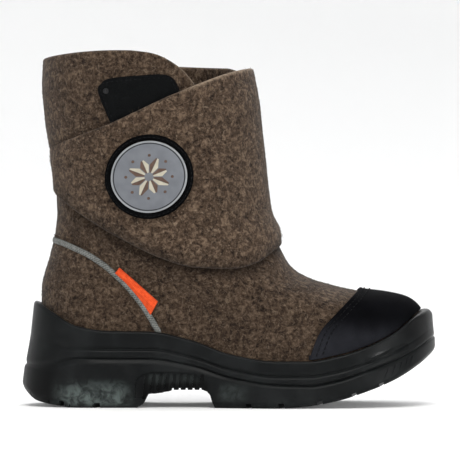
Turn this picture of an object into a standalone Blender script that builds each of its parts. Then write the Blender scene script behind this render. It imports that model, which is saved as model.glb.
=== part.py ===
"""Child's felt winter boot for the right foot, with a wrap flap and a moulded rubber sole.

All sizes and tables are in millimetres and become metres as each mesh is made.
+X runs to the toe, -Y is the outer side of the foot and +Z is up.
The origin is on the floor, under the middle of the boot.

The felt upper is one surface of turn and level. Turn runs round the boot in degrees: 0 is the back of
the heel, 90 the outer side, 180 the front and 270 the inner side. Level runs up the rows of RINGS.
Each other piece is worked out from that surface.
"""

import bmesh
import bpy
import math
from bisect import bisect_right
from functools import lru_cache
from mathutils import Matrix, Vector

MM = 0.001

# Driving sizes
FELT = 3.2             # wall of the upper and of the flap
GAP = 0.3              # clearance between pieces that touch
CUP_GAP = 0.4          # clearance between the upper and the sole's cup
COLUMNS = 48           # divisions round the boot
TOE_SWING = 6.0        # how far the toe turns to the inner side
SIDE_SHIFT = 0.7       # moves the foot's line to the inner side, so the origin is in the middle
INSOLE = 4.0
CAP = 1.5
PATCH = 1.0
PIPING_WIDTH = 3.2
PIPING_HEIGHT = 1.2
TAG = 0.9


class Table:
    """Rows of named columns. A value between two rows lies on a smooth curve that doesn't overshoot."""

    def __init__(self, columns, *rows):
        self.names = columns.split()
        self.columns = dict(zip(self.names, zip(*rows)))
        self.keys = self.columns[self.names[0]]
        count = range(len(self.keys))
        self.slopes = {name: [self.slope(self.keys, values, i) for i in count]
                       for name, values in self.columns.items()}

    def __call__(self, name, key):
        """The named column where the first column has this key."""
        keys, values, slopes = self.keys, self.columns[name], self.slopes[name]
        if key <= keys[0]:
            return values[0]
        if key >= keys[-1]:
            return values[-1]
        i = bisect_right(keys, key) - 1
        span = keys[i + 1] - keys[i]
        t = (key - keys[i]) / span
        return ((2 * t**3 - 3 * t**2 + 1) * values[i] + (t**3 - 2 * t**2 + t) * slopes[i] * span
                + (3 * t**2 - 2 * t**3) * values[i + 1] + (t**3 - t**2) * slopes[i + 1] * span)

    @staticmethod
    def slope(keys, values, i):
        """Slope at row i: the mean of its two sides, or level at a peak, a dip or an end."""
        if i in (0, len(keys) - 1):
            j = min(i, len(keys) - 2)
            return (values[j + 1] - values[j]) / (keys[j + 1] - keys[j])
        before = (values[i] - values[i - 1]) / (keys[i] - keys[i - 1])
        after = (values[i + 1] - values[i]) / (keys[i + 1] - keys[i])
        return 0.0 if before * after <= 0 else 2 * before * after / (before + after)


# Rings of the upper's outer face, from the bottom edge to just above the collar. Each ring runs from a
# point at the front to a point at the back. It dips by sag on the sides, is outer and inner wide on
# either side, and has the foot's outline where foot is 1 and an oval where foot is 0. Floor is how far
# it follows the curved floor of the sole, and crown is how far its outer side rises.
RINGS = Table(
    "level front_x front_z back_x back_z  sag outer inner foot floor crown",
    (0, 103.5, 27.0, -97.0, 23.4, 0.0, 40.0, 38.0, 1.00, 1.00, 0.0),
    (1, 106.0, 33.5, -100.5, 38.0, 4.0, 41.0, 39.0, 1.00, 0.80, 0.0),
    (2, 105.8, 43.5, -102.4, 54.0, 9.0, 40.5, 38.8, 0.95, 0.50, 0.0),
    (3, 102.5, 51.8, -102.3, 64.0, 13.0, 39.5, 38.0, 0.90, 0.25, 0.0),
    (4, 96.0, 57.2, -100.2, 73.3, 15.0, 38.5, 37.5, 0.80, 0.10, 0.0),
    (5, 86.0, 59.8, -97.5, 81.3, 15.5, 38.0, 37.5, 0.65, 0.0, 0.0),
    (6, 70.0, 62.0, -95.7, 88.8, 15.0, 38.0, 37.5, 0.50, 0.0, 0.0),
    (7, 55.0, 65.4, -95.0, 95.8, 14.0, 38.5, 38.0, 0.35, 0.0, 0.0),
    (8, 43.0, 69.0, -94.5, 101.8, 12.5, 39.0, 38.5, 0.22, 0.0, 0.0),
    (9, 35.0, 73.9, -94.2, 106.8, 11.0, 39.5, 39.0, 0.12, 0.0, 0.0),
    (10, 29.5, 80.4, -94.1, 111.8, 9.0, 40.0, 39.5, 0.05, 0.0, 0.0),
    (11, 25.2, 89.8, -94.4, 117.8, 7.0, 40.8, 40.3, 0.0, 0.0, 0.0),
    (12, 19.7, 101.8, -95.0, 126.8, 5.0, 42.0, 41.5, 0.0, 0.0, 0.0),
    (13, 17.5, 115.0, -97.4, 136.8, 3.0, 43.2, 42.7, 0.0, 0.0, 0.0),
    (14, 15.6, 131.5, -99.7, 148.0, 1.5, 44.4, 43.9, 0.0, 0.0, 0.5),
    (15, 13.7, 148.0, -101.1, 160.0, 0.5, 45.5, 45.0, 0.0, 0.0, 1.0),
    (16, 12.0, 165.0, -102.0, 173.0, 0.0, 46.5, 46.0, 0.0, 0.0, 2.5),
    (17, 9.0, 182.3, -101.5, 188.0, 0.0, 47.5, 47.0, 0.0, 0.0, 5.0),
    (18, 6.0, 199.5, -101.0, 201.7, 0.0, 48.5, 48.0, 0.0, 0.0, 6.6),
)
COLLAR = 17
RING_STEPS = [0, 1, 2, 3, 4, 5, 6, 7, 7.5, 8, 8.5, 9, 9.5, 10, 10.5, 11, 12, 13, 14, 15, 16, COLLAR]

# The foot's outline, as shares of the ring's width, along the foot from the heel (0) to the toe (1)
FOOT_OUTLINE = Table(
    "along outer inner",
    (0.00, 0.73, 0.75),
    (0.15, 0.74, 0.76),
    (0.40, 0.77, 0.68),
    (0.64, 1.00, 0.93),
    (0.78, 1.00, 1.00),
    (1.00, 0.97, 1.00),
)
HEEL_ROUND, TOE_ROUND = 0.16, 0.24    # lengths of the rounded ends, as shares of the foot

# Lines of the sole along X: the floor inside, the rim's top, the grooves beside the bead, and the tread,
# with the rim's wall, how far the side flares out at the tread, and how much of the bead there is
SOLE_LINES = Table(
    "x floor rim bead_top bead_low tread rim_wall flare bead",
    (-113, 23.5, 59.0, 35.5, 23.0, 10.5, 3.6, 10.7, 0.0),
    (-104, 23.5, 56.2, 35.0, 22.3, 3.4, 3.6, 9.4, 0.0),
    (-95, 23.4, 50.8, 33.8, 23.0, 1.5, 3.4, 7.2, 0.1),
    (-82, 23.0, 43.6, 31.6, 26.2, 0.0, 3.2, 5.5, 0.9),
    (-65, 22.2, 41.0, 31.2, 26.0, 0.0, 3.0, 4.4, 1.0),
    (-43, 20.5, 40.7, 31.2, 25.9, 0.0, 3.0, 4.0, 1.0),
    (-20, 17.5, 35.9, 26.9, 22.3, 0.0, 3.0, 4.0, 1.0),
    (0, 14.8, 28.7, 20.5, 16.2, 0.0, 3.0, 4.2, 1.0),
    (25, 13.4, 25.0, 16.8, 12.5, 0.0, 3.2, 4.4, 1.0),
    (42, 14.0, 25.0, 16.9, 12.0, 1.2, 3.4, 4.8, 1.0),
    (56, 15.4, 27.3, 19.2, 14.3, 3.7, 3.8, 5.2, 1.0),
    (71, 18.0, 31.6, 23.3, 19.0, 8.2, 4.4, 5.4, 0.9),
    (88, 22.0, 39.8, 30.2, 25.0, 14.9, 5.2, 5.0, 0.35),
    (102, 26.5, 50.2, 37.6, 32.2, 23.0, 6.4, 3.5, 0.05),
    (107, 28.2, 52.5, 40.8, 35.4, 26.6, 7.4, 2.3, 0.0),
    (113, 30.0, 52.8, 43.5, 38.4, 31.0, 7.8, 1.8, 0.0),
)

# Steps of the sole's side, from the tread's edge up: how far the row lies between two of the lines
# above, how far it stands out from the flared wall, and how far where the bead has run out
SOLE_STEPS = (
    ("tread", "bead_low", 0.00, -2.2, -2.2),
    ("tread", "bead_low", 0.16, -0.3, -0.3),
    ("tread", "bead_low", 0.90, 0.0, 0.4),
    ("tread", "bead_low", 1.00, -1.3, -0.5),
    ("bead_low", "bead_top", 0.18, 0.9, 0.2),
    ("bead_low", "bead_top", 0.82, 0.9, 0.2),
    ("bead_low", "bead_top", 1.00, -1.2, 0.2),
    ("bead_top", "rim", 0.14, 0.2, 0.2),
    ("bead_top", "rim", 0.93, 0.2, 0.2),
    ("bead_top", "rim", 1.00, -0.9, -0.9),
)

INSIDE_ROWS = 4
FLARE_CURVE = 1.4      # above 1, the side flares out more towards the tread than towards the rim

# Arch: side view of the gap between heel block and forefoot, and the flutes that leave its ribs
ARCH = Table(
    "x z",
    (-51.5, -2.0),
    (-46.6, 1.9),
    (-44.8, 5.6),
    (-43.4, 7.4),
    (-33.0, 8.8),
    (-29.5, 9.6),
    (-14.5, 9.6),
    (-12.2, 8.7),
    (-10.7, 7.0),
    (-9.5, 3.0),
    (-7.2, -2.0),
)
ARCH_HEIGHT = 9.6
FLUTES, FLUTE_FIRST, FLUTE_PITCH = 9, -45.4, 3.7
FLUTE_WIDTH, FLUTE_DEPTH, FLUTE_TOP = 1.9, 3.0, 18.2

# Lugs: the grooves across the tread, and the channel along it
LUG_GROOVES = Table(
    "x width depth",
    (-92.9, 3.0, 2.4),
    (-72.9, 3.4, 2.6),
    (10.2, 3.2, 2.4),
    (28.4, 3.2, 2.4),
    (48.5, 3.0, 2.0),
    (66.5, 2.4, 1.5),
    (79.9, 2.2, 1.4),
)
LUG_SWEEP = 12.0
CHANNEL_WIDTH, CHANNEL_DEPTH = 5.0, 2.4
CHANNELS = ((-104.0, -52.0), (-4.0, 84.0))

# Flap: its lower and upper edge at each turn, from its round tip behind the leg to its seam on the inner
# side, the share of the felt's thickness there and at its lower edge, and how far the patch lifts it
FLAP = Table(
    "turn low top felt low_felt lift",
    (-13.0, 126.5, 130.0, 0.6, 0.6, 0.0),
    (-10.0, 122.5, 133.5, 0.6, 0.6, 0.0),
    (-4.0, 119.4, 136.0, 0.6, 0.6, 0.0),
    (8.0, 116.8, 138.0, 0.7, 0.7, 0.0),
    (28.0, 110.5, 141.0, 1.0, 1.0, 0.3),
    (47.0, 101.0, 145.0, 1.0, 1.0, 0.8),
    (67.0, 89.8, 150.8, 1.0, 1.0, 1.0),
    (84.0, 80.5, 158.0, 1.0, 1.0, 1.0),
    (99.0, 75.2, 165.0, 1.0, 1.0, 1.0),
    (118.0, 74.0, 172.5, 1.0, 1.0, 0.8),
    (136.0, 77.2, 177.8, 1.0, 0.9, 0.3),
    (147.0, 80.6, 179.8, 1.0, 0.75, 0.1),
    (158.0, 83.8, 181.2, 1.0, 0.6, 0.0),
    (180.0, 87.6, 182.4, 1.0, 0.4, 0.0),
    (200.0, 90.2, 182.4, 0.9, 0.4, 0.0),
    (214.0, 93.0, 182.2, 0.3, 0.3, 0.0),
)

# Throat: the opening in the upper behind the flap, from the outer quarter's rounded front edge to the
# inner side, at each height
THROAT = Table(
    "z outer inner",
    (93.0, 141.0, 197.0),
    (118.0, 137.0, 199.0),
    (147.0, 131.0, 200.0),
    (163.0, 124.5, 200.0),
    (173.0, 118.0, 200.0),
    (180.0, 112.0, 200.0),
    (186.0, 103.0, 200.0),
    (190.5, 91.0, 200.0),
    (198.0, 60.0, 200.0),
)

# Toe cap: x of its back edge at each height, on either side
CAP_EDGE = Table(
    "z outer inner",
    (25.4, 41.8, 55.0),
    (40.0, 47.7, 57.5),
    (49.5, 56.2, 62.5),
    (57.5, 64.8, 67.5),
    (62.0, 70.0, 70.0),
)

# Hook-and-loop patch, seen from the outer side: a slanted strip with rounded corners
PATCH_X, PATCH_Z = -46.0, 162.7
PATCH_LENGTH, PATCH_WIDTH = 42.8, 29.0
PATCH_TILT, PATCH_SLANT = 4.0, 0.34

# Badge on the flap, seen from the outer side
BADGE_X, BADGE_Z = -42.6, 123.8
BADGE_WIDTH, BADGE_TALL = 43.6, 44.4
BADGE_RING = 2.9
BADGE_RIM_HEIGHT, BADGE_FACE_HEIGHT = 2.4, 1.7

# Piping in the counter seam, from the outer side of the sole's rim round the heel to the inner side
PIPING_ROUTE = Table(
    "turn z",
    (-67.0, 42.0),
    (-65.3, 48.0),
    (-62.0, 56.3),
    (-56.7, 66.0),
    (-48.8, 76.2),
    (-37.4, 83.2),
    (-17.0, 88.6),
    (0.0, 89.8),
    (17.0, 88.6),
    (37.4, 83.2),
    (48.8, 76.2),
    (56.7, 66.0),
    (62.0, 56.3),
    (65.3, 48.0),
    (67.0, 42.0),
)

# Tag in the piping seam: the turns between which it is sewn in, and how far it stands forward
TAG_UPPER, TAG_LOWER = 53.0, 65.0
TAG_NARROW, TAG_WIDE, TAG_SLANT = 3.0, 6.2, 2.4
TAG_LIFT = 1.6


# The upper's surface

def between(a, b, share):
    return a + (b - a) * share


def smooth(share):
    share = min(1.0, max(0.0, share))
    return share * share * (3 - 2 * share)


def round_end(distance, length):
    """Half-width share of a rounded end of this length, at this distance from its tip."""
    t = min(1.0, max(0.0, distance / length))
    return math.sqrt(1 - (1 - t) ** 2.2)


def ring_point(turn, row):
    """Point of one of the rings."""
    ring = {name: values[row] for name, values in RINGS.columns.items()}
    angle = math.radians(turn)
    along = (1 - math.cos(angle)) / 2
    side, sign = ("outer", -1) if math.sin(angle) >= 0 else ("inner", 1)
    x = between(ring["back_x"], ring["front_x"], along)
    z = between(ring["back_z"], ring["front_z"], along) - ring["sag"] * 4 * along * (1 - along)
    ends = between(SOLE_LINES("floor", ring["back_x"]), SOLE_LINES("floor", ring["front_x"]), along)
    z += (SOLE_LINES("floor", x) - ends) * ring["floor"]
    if side == "outer":
        z += ring["crown"] * math.sin(angle) ** 2
    oval = abs(math.sin(angle)) ** 0.92
    foot = FOOT_OUTLINE(side, along) * round_end(along, HEEL_ROUND) * round_end(1 - along, TOE_ROUND)
    swing = SIDE_SHIFT + TOE_SWING * ring["foot"] * smooth((along - 0.5) / 0.5)
    y = sign * ring[side] * between(oval, foot, ring["foot"]) + swing
    return x, y, z


@lru_cache(maxsize=None)
def meridian(turn):
    """Smooth line up the boot, through one point of each ring."""
    return Table("level x y z", *((level, *ring_point(turn, level)) for level in RINGS.keys))


def surface(turn, level):
    """Point of the upper's outer face."""
    line = meridian(round(turn % 360, 4))
    return Vector([line(axis, level) for axis in "xyz"])


def outward(turn, level):
    """Unit normal of the upper's outer face."""
    turn_step, level_step = 0.5, 0.02
    round_way = surface(turn + turn_step, level) - surface(turn - turn_step, level)
    low, high = max(0.0, level - level_step), min(18.0, level + level_step)
    return round_way.cross(surface(turn, high) - surface(turn, low)).normalized()


def skin(turn, level, out):
    """Point this far outside the upper's outer face."""
    return surface(turn, level) + outward(turn, level) * out


def level_at(turn, z):
    """Level where the upper's face has this height."""
    low, high = 0.0, 18.0
    for _ in range(30):
        middle = (low + high) / 2
        low, high = (middle, high) if surface(turn, middle).z < z else (low, middle)
    return (low + high) / 2


def side_spot(x, z, outer=True):
    """Turn and level of the point that lies at x and z, seen from one side."""
    level = 8.0
    for _ in range(12):
        back, front = surface(0, level).x, surface(180, level).x
        along = min(1.0, max(0.0, (x - back) / (front - back)))
        turn = math.degrees(math.acos(1 - 2 * along)) * (1 if outer else -1)
        level = level_at(turn, z)
    return turn, level


# Mesh helpers

def material(name, colour, roughness):
    made = bpy.data.materials.new(name)
    made.use_nodes = True
    shader = made.node_tree.nodes["Principled BSDF"]
    shader.inputs["Base Color"].default_value = (*colour, 1.0)
    shader.inputs["Roughness"].default_value = roughness
    return made


def add_object(name, bm, collection, finish=None):
    """Object made from a bmesh in millimetres."""
    bmesh.ops.scale(bm, vec=(MM, MM, MM), verts=bm.verts)
    mesh = bpy.data.meshes.new(name)
    bm.to_mesh(mesh)
    bm.free()
    mesh.shade_smooth()
    mesh.set_sharp_from_angle(angle=math.radians(40))
    obj = bpy.data.objects.new(name, mesh)
    collection.objects.link(obj)
    if finish:
        mesh.materials.append(finish)
    return obj


def add_cutter(name, bm, collection):
    bmesh.ops.recalc_face_normals(bm, faces=bm.faces)
    cutter = add_object(name, bm, collection)
    cutter.hide_render = True
    cutter.display_type = "WIRE"
    return cutter


def cut(obj, cutter):
    modifier = obj.modifiers.new(cutter.name, "BOOLEAN")
    modifier.operation = "DIFFERENCE"
    modifier.object = cutter


def wrap_grid(columns, rows, place, closed=False):
    """Grid of quads whose points lie where place(share across, share up) puts them."""
    bm = bmesh.new()
    bmesh.ops.create_grid(bm, x_segments=columns, y_segments=rows, size=1)
    for vert in bm.verts:
        vert.co = place((vert.co.x + 1) / 2, (vert.co.y + 1) / 2)
    if closed:
        bmesh.ops.remove_doubles(bm, verts=bm.verts, dist=1e-4)
    return bm


def thicken(obj, thickness, outwards=True):
    modifier = obj.modifiers.new("Thickness", "SOLIDIFY")
    modifier.thickness = thickness * MM
    modifier.offset = 1 if outwards else -1
    modifier.use_even_offset = True
    return modifier


def row_of(table_rows, share):
    return table_rows[round(share * (len(table_rows) - 1))]


# Pieces

def build_upper(collection, cutters, finish):
    """Hollow felt boot, open at the collar, at the throat and underneath."""
    def place(across, up):
        return surface(360 * across, row_of(RING_STEPS, up))

    bm = wrap_grid(COLUMNS, len(RING_STEPS) - 1, place, closed=True)
    upper = add_object("upper", bm, collection, finish)
    thicken(upper, FELT, outwards=False)
    cut(upper, throat_cutter(cutters))
    return upper


def throat_cutter(cutters):
    """Thick patch of the upper's surface, as large as the throat."""
    reach = FELT + 4

    def place(across, up):
        z = between(THROAT.columns["z"][0], THROAT.columns["z"][-1], up)
        turn = between(THROAT("outer", z), THROAT("inner", z), across)
        return skin(turn, level_at(turn, z), -reach)

    bm = wrap_grid(12, 14, place)
    cutter = add_cutter("throat_cutter", bm, cutters)
    thicken(cutter, 2 * reach)
    return cutter


@lru_cache(maxsize=None)
def sole_outline(turn):
    """Point of the upper's face at the rim, and the way out from it in plan."""
    level = 2.0
    for _ in range(8):
        spot = surface(turn, level)
        level = level_at(turn, SOLE_LINES("rim", spot.x))
    spot, out = surface(turn, level), outward(turn, level)
    return spot, Vector((out.x, out.y, 0)).normalized()


def sole_side(turn, step):
    """Point of the sole's outer side on one of its steps."""
    lower, upper, share, with_bead, without = step
    spot, out = sole_outline(turn)
    stands_out = between(without, with_bead, SOLE_LINES("bead", spot.x))
    rim = SOLE_LINES("rim", spot.x)
    point = spot
    for _ in range(4):
        z = between(SOLE_LINES(lower, point.x), SOLE_LINES(upper, point.x), share)
        drop = (rim - z) / (rim - SOLE_LINES("tread", spot.x))
        flare = SOLE_LINES("flare", spot.x) * max(0.0, drop) ** FLARE_CURVE
        width = GAP + SOLE_LINES("rim_wall", spot.x) + flare + stands_out
        point = spot + out * width
    return Vector((point.x, point.y, z))


def sole_inside(turn, row):
    """Point of the cup's inner wall, on rows from the rim down to the floor."""
    rim = level_at(turn, sole_outline(turn)[0].z)
    point = skin(turn, (rim, (rim + 1) / 2, 1, 0)[row], CUP_GAP)
    if row == INSIDE_ROWS - 1:
        point.z -= GAP
    return point


def ladder(bm, loop, upwards):
    """Strips across a closed loop of points, between its outer and its inner side."""
    half = len(loop) // 2
    for i in range(half):
        corners = [loop[i], loop[i + 1], loop[-i - 1], loop[-i]] if i else [loop[0], loop[1], loop[-1]]
        if i == half - 1:
            corners = [loop[i], loop[half], loop[-i]]
        bm.faces.new(corners if upwards else corners[::-1])


def build_sole(collection, cutters, finish):
    """Moulded sole: a cup round the foot, with its heel block, arch, lugs and the bead along its side."""
    bm = bmesh.new()
    turns = [360 * i / COLUMNS for i in range(COLUMNS)]
    loops = [[bm.verts.new(sole_side(turn, step)) for turn in turns] for step in SOLE_STEPS]
    loops += [[bm.verts.new(sole_inside(turn, row)) for turn in turns] for row in range(INSIDE_ROWS)]
    for low, high in zip(loops, loops[1:]):
        for i in range(COLUMNS):
            bm.faces.new((low[i - 1], low[i], high[i], high[i - 1]))
    ladder(bm, loops[0], upwards=False)
    ladder(bm, loops[-1], upwards=True)
    bmesh.ops.recalc_face_normals(bm, faces=bm.faces)
    sole = add_object("sole", bm, collection, finish)
    for cutter in (groove_cutter, channel_cutter, arch_cutter, flute_cutter):
        cut(sole, cutter(cutters))
    return sole


def add_box(bm, centre, size):
    return bmesh.ops.create_cube(bm, size=1, matrix=Matrix.Translation(centre) @ Matrix.Diagonal((*size, 1)))


def add_bar(bm, sections):
    """Closed bar through sections that have the same number of points."""
    loops = [[bm.verts.new(point) for point in section] for section in sections]
    for before, after in zip(loops, loops[1:]):
        for k in range(len(before)):
            bm.faces.new((before[k - 1], before[k], after[k], after[k - 1]))
    bm.faces.new(loops[0])
    bm.faces.new(loops[-1])


def arch_cutter(cutters):
    """Bar across the boot that clears the arch."""
    reach = 70.0
    bm = bmesh.new()
    add_bar(bm, [[(x, y, z) for x, z in zip(*ARCH.columns.values())] for y in (-reach, reach)])
    return add_cutter("arch_cutter", bm, cutters)


def flute_cutter(cutters):
    """Row of slots in either side of the arch, which leaves the ribs between them."""
    bm = bmesh.new()
    low, length = ARCH_HEIGHT - 3.0, 20.0
    for n in range(FLUTES):
        x = FLUTE_FIRST + FLUTE_PITCH * n
        for outer in (True, False):
            turn, _ = side_spot(x, SOLE_LINES("rim", x), outer)
            wall = sole_side(turn, SOLE_STEPS[2]).y
            middle = wall + math.copysign(length / 2 - FLUTE_DEPTH, wall)
            add_box(bm, (x, middle, (low + FLUTE_TOP) / 2), (FLUTE_WIDTH, length, FLUTE_TOP - low))
    return add_cutter("flute_cutter", bm, cutters)


def groove_section(x, y, width, depth):
    """Section of a groove across the tread."""
    deep = 12.0
    back, front = x - width / 2, x + width / 2
    behind, ahead = SOLE_LINES("tread", back) + depth, SOLE_LINES("tread", front) + depth
    return ((back, y, behind), (front, y, ahead), (front, y, ahead - deep), (back, y, behind - deep))


def groove_cutter(cutters):
    """Grooves across the tread, swept forwards in the middle."""
    bm = bmesh.new()
    reach, edge = 60.0, 42.0
    for x, width, depth in zip(*LUG_GROOVES.columns.values()):
        swept = [(x + LUG_SWEEP * (1 - abs(y) / edge), y) for y in (-reach, 0.0, reach)]
        add_bar(bm, [groove_section(*place, width, depth) for place in swept])
    return add_cutter("groove_cutter", bm, cutters)


def channel_cutter(cutters):
    """Channels along the middle of the heel and of the forefoot."""
    bm = bmesh.new()
    sections, deep, half = 12, 12.0, CHANNEL_WIDTH / 2
    for first, last in CHANNELS:
        bar = []
        for n in range(sections + 1):
            x = between(first, last, n / sections)
            top = SOLE_LINES("tread", x) + CHANNEL_DEPTH
            middle = SIDE_SHIFT + TOE_SWING * smooth(x / 100)
            bar.append(((x, middle - half, top), (x, middle + half, top),
                        (x, middle + half, top - deep), (x, middle - half, top - deep)))
        add_bar(bm, bar)
    return add_cutter("channel_cutter", bm, cutters)


def build_insole(collection, finish):
    """Footbed on the sole's floor, inside the upper's lower edge."""
    rows = COLUMNS // 2 - 2
    ends = 360 / COLUMNS

    def place(across, up):
        turn = between(ends, 180 - ends, up)
        inset = -(FELT + 2 * GAP)
        outer, inner = skin(turn, 0.0, inset), skin(-turn, 0.0, inset)
        point = inner.lerp(outer, across)
        return Vector((point.x, point.y, SOLE_LINES("floor", point.x) + GAP))

    bm = wrap_grid(4, rows, place)
    insole = add_object("insole", bm, collection, finish)
    thicken(insole, INSOLE)
    return insole


def flap_out(turn):
    """How far the flap's inner face lies outside the upper's face."""
    return GAP + 0.1 + FLAP("lift", turn) * (PATCH + GAP)


def build_flap(collection, finish):
    """Felt flap from its seam on the inner side, round the front and the outer side, to its tip behind."""
    columns, rows = 30, 11
    first, last = FLAP.columns["turn"][0], FLAP.columns["turn"][-1]

    def place(across, up):
        turn = between(first, last, across)
        z = between(FLAP("low", turn), FLAP("top", turn), up)
        return skin(turn, level_at(turn, z), flap_out(turn))

    bm = wrap_grid(columns, rows, place)
    flap = add_object("closure_flap", bm, collection, finish)
    felt = flap.vertex_groups.new(name="felt")
    for vert in flap.data.vertices:
        row, column = divmod(vert.index, columns + 1)
        name = "felt" if row else "low_felt"
        felt.add([vert.index], FLAP(name, between(first, last, column / columns)), "REPLACE")
    modifier = thicken(flap, FELT)
    modifier.vertex_group = felt.name
    return flap


def cap_edge(turn):
    """Level of the toe cap's back edge."""
    side = "outer" if turn < 180 else "inner"
    low, high = 0.0, 9.0
    for _ in range(30):
        level = (low + high) / 2
        spot = surface(turn, level)
        low, high = (level, high) if spot.x > CAP_EDGE(side, spot.z) else (low, level)
    return (low + high) / 2


def build_toe_cap(collection, finish):
    """Cap over the toe, from the sole's rim up to its slanted back edge."""
    columns, rows = 36, 9
    corner = 0.2
    outer_x, inner_x = CAP_EDGE.columns["outer"][0], CAP_EDGE.columns["inner"][0]
    outer_turn = side_spot(outer_x, SOLE_LINES("rim", outer_x))[0]
    inner_turn = 360 + side_spot(inner_x, SOLE_LINES("rim", inner_x), outer=False)[0]

    def place(across, up):
        turn = between(outer_turn, inner_turn, across)
        low = level_at(turn, sole_outline(turn)[0].z + 2 * GAP)
        return skin(turn, between(low, max(cap_edge(turn), low + corner), up), GAP)

    bm = wrap_grid(columns, rows, place)
    cap = add_object("toe_cap", bm, collection, finish)
    thicken(cap, CAP)
    return cap


def build_patch(collection, finish):
    """Hook-and-loop patch on the outer quarter: a slanted strip with round corners."""
    def place(across, up):
        a, b = 2 * across - 1, 2 * up - 1
        corner = 1 - 0.11 * (a * b) ** 6
        along, down = a * corner * PATCH_LENGTH / 2, b * corner * PATCH_WIDTH / 2
        along -= down * PATCH_SLANT
        tilt = math.radians(PATCH_TILT)
        x = PATCH_X + along * math.cos(tilt) - down * math.sin(tilt)
        z = PATCH_Z + along * math.sin(tilt) + down * math.cos(tilt)
        return skin(*side_spot(x, z), GAP)

    bm = wrap_grid(8, 6, place)
    patch = add_object("loop_patch", bm, collection, finish)
    thicken(patch, PATCH)
    return patch


def flap_face(x, z, out):
    """Point this far outside the flap's outer face, seen at x and z from the outer side."""
    turn, level = side_spot(x, z)
    return skin(turn, level, flap_out(turn) + FELT + out)


def badge_point(angle, share, out):
    x = BADGE_X + share * BADGE_WIDTH / 2 * math.cos(angle)
    z = BADGE_Z + share * BADGE_TALL / 2 * math.sin(angle)
    return flap_face(x, z, out)


def build_badge(collection, rim_finish, face_finish):
    """Round badge sewn on the flap: a raised ring, and a face inside it."""
    segments = 32
    inside = 1 - 2 * BADGE_RING / BADGE_WIDTH
    play = 2 * GAP / BADGE_WIDTH

    def ring(across, up):
        return badge_point(2 * math.pi * across, between(1.0, inside, up), GAP)

    bm = wrap_grid(segments, 1, ring, closed=True)
    rim = add_object("badge_rim", bm, collection, rim_finish)
    thicken(rim, BADGE_RIM_HEIGHT)

    def disc(across, up):
        return badge_point(2 * math.pi * across, between(inside - play, 0.0, up), GAP)

    bm = wrap_grid(segments, 4, disc, closed=True)
    face = add_object("badge_face", bm, collection, face_finish)
    thicken(face, BADGE_FACE_HEIGHT)
    return rim, face


def piping_spot(turn):
    """Turn and level of the piping's line."""
    return turn, level_at(turn, PIPING_ROUTE("z", turn))


def piping_frame(turn):
    """Point of the upper's face under the piping, the way out, and the way across it, forwards and up."""
    spot, out = surface(*piping_spot(turn)), outward(*piping_spot(turn))
    step = 0.5
    along = surface(*piping_spot(turn + step)) - surface(*piping_spot(turn - step))
    return spot, out, out.cross(along).normalized()


def build_piping(collection, finish):
    """Half-round piping along the counter seam."""
    stations, sides = 44, 6
    first, last = PIPING_ROUTE.columns["turn"][0], PIPING_ROUTE.columns["turn"][-1]
    bm = bmesh.new()
    loops = []
    for n in range(stations + 1):
        spot, out, across = piping_frame(between(first, last, n / stations))
        loop = []
        for k in range(sides):
            angle = math.pi * k / (sides - 1)
            rise = GAP + PIPING_HEIGHT * math.sin(angle)
            loop.append(bm.verts.new(spot + across * math.cos(angle) * PIPING_WIDTH / 2 + out * rise))
        loops.append(loop)
    for before, after in zip(loops, loops[1:]):
        for k in range(sides):
            bm.faces.new((before[k - 1], before[k], after[k], after[k - 1]))
    bm.faces.new(loops[0])
    bm.faces.new(loops[-1])
    bmesh.ops.recalc_face_normals(bm, faces=bm.faces)
    return add_object("piping", bm, collection, finish)


def tag_frame(turn):
    """Point in front of the piping, the way out, and the way forwards from it."""
    spot, out, forward = piping_frame(turn)
    if forward.x < 0:
        forward = -forward
    return spot + forward * (PIPING_WIDTH / 2 + GAP) + out * 2 * GAP, out, forward


def build_tag(collection, finish):
    """Folded ribbon tag that stands out of the seam, in front of the piping, with a straight front edge."""
    corners = []
    for turn, reach, slant in ((TAG_UPPER, TAG_NARROW, 0.0), (TAG_LOWER, TAG_WIDE, TAG_SLANT)):
        root, out, forward = tag_frame(turn)
        corners.append(root + forward * reach + out.cross(forward) * slant + out * TAG_LIFT)

    def place(across, up):
        root, _, _ = tag_frame(between(TAG_UPPER, TAG_LOWER, across))
        return root.lerp(corners[0].lerp(corners[1], across), up)

    bm = wrap_grid(6, 3, place)
    tag = add_object("side_tag", bm, collection, finish)
    thicken(tag, TAG)
    return tag


def main():
    for obj in list(bpy.data.objects):
        bpy.data.objects.remove(obj)
    boot = bpy.data.collections.new("felt_boot")
    cutters = bpy.data.collections.new("cutters")
    for collection in (boot, cutters):
        bpy.context.scene.collection.children.link(collection)

    felt = material("brown_felt", (0.080, 0.054, 0.038), 0.95)
    rubber = material("black_rubber", (0.016, 0.017, 0.018), 0.55)
    cap_rubber = material("toe_cap_rubber", (0.010, 0.010, 0.012), 0.50)
    loop_cloth = material("black_loop_cloth", (0.007, 0.007, 0.008), 0.90)
    reflective = material("grey_reflective", (0.20, 0.21, 0.23), 0.45)
    ribbon = material("orange_ribbon", (0.75, 0.08, 0.02), 0.70)
    footbed = material("grey_felt", (0.16, 0.14, 0.12), 0.95)

    build_sole(boot, cutters, rubber)
    build_insole(boot, footbed)
    build_upper(boot, cutters, felt)
    build_flap(boot, felt)
    build_toe_cap(boot, cap_rubber)
    build_patch(boot, loop_cloth)
    build_badge(boot, rubber, reflective)
    build_piping(boot, reflective)
    build_tag(boot, ribbon)


main()
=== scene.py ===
"""Looks of the child's felt winter boot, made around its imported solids.

Sizes and tables are in millimetres and become metres as each mesh is made.
+X runs to the toe, -Y is the outer side of the foot and +Z is up.
The felt upper is one surface of turn and level. Turn runs round the boot in degrees: 0 is the back of
the heel, 90 the outer side, 180 the front and 270 the inner side. Level runs up the rows of RINGS.
"""

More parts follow.
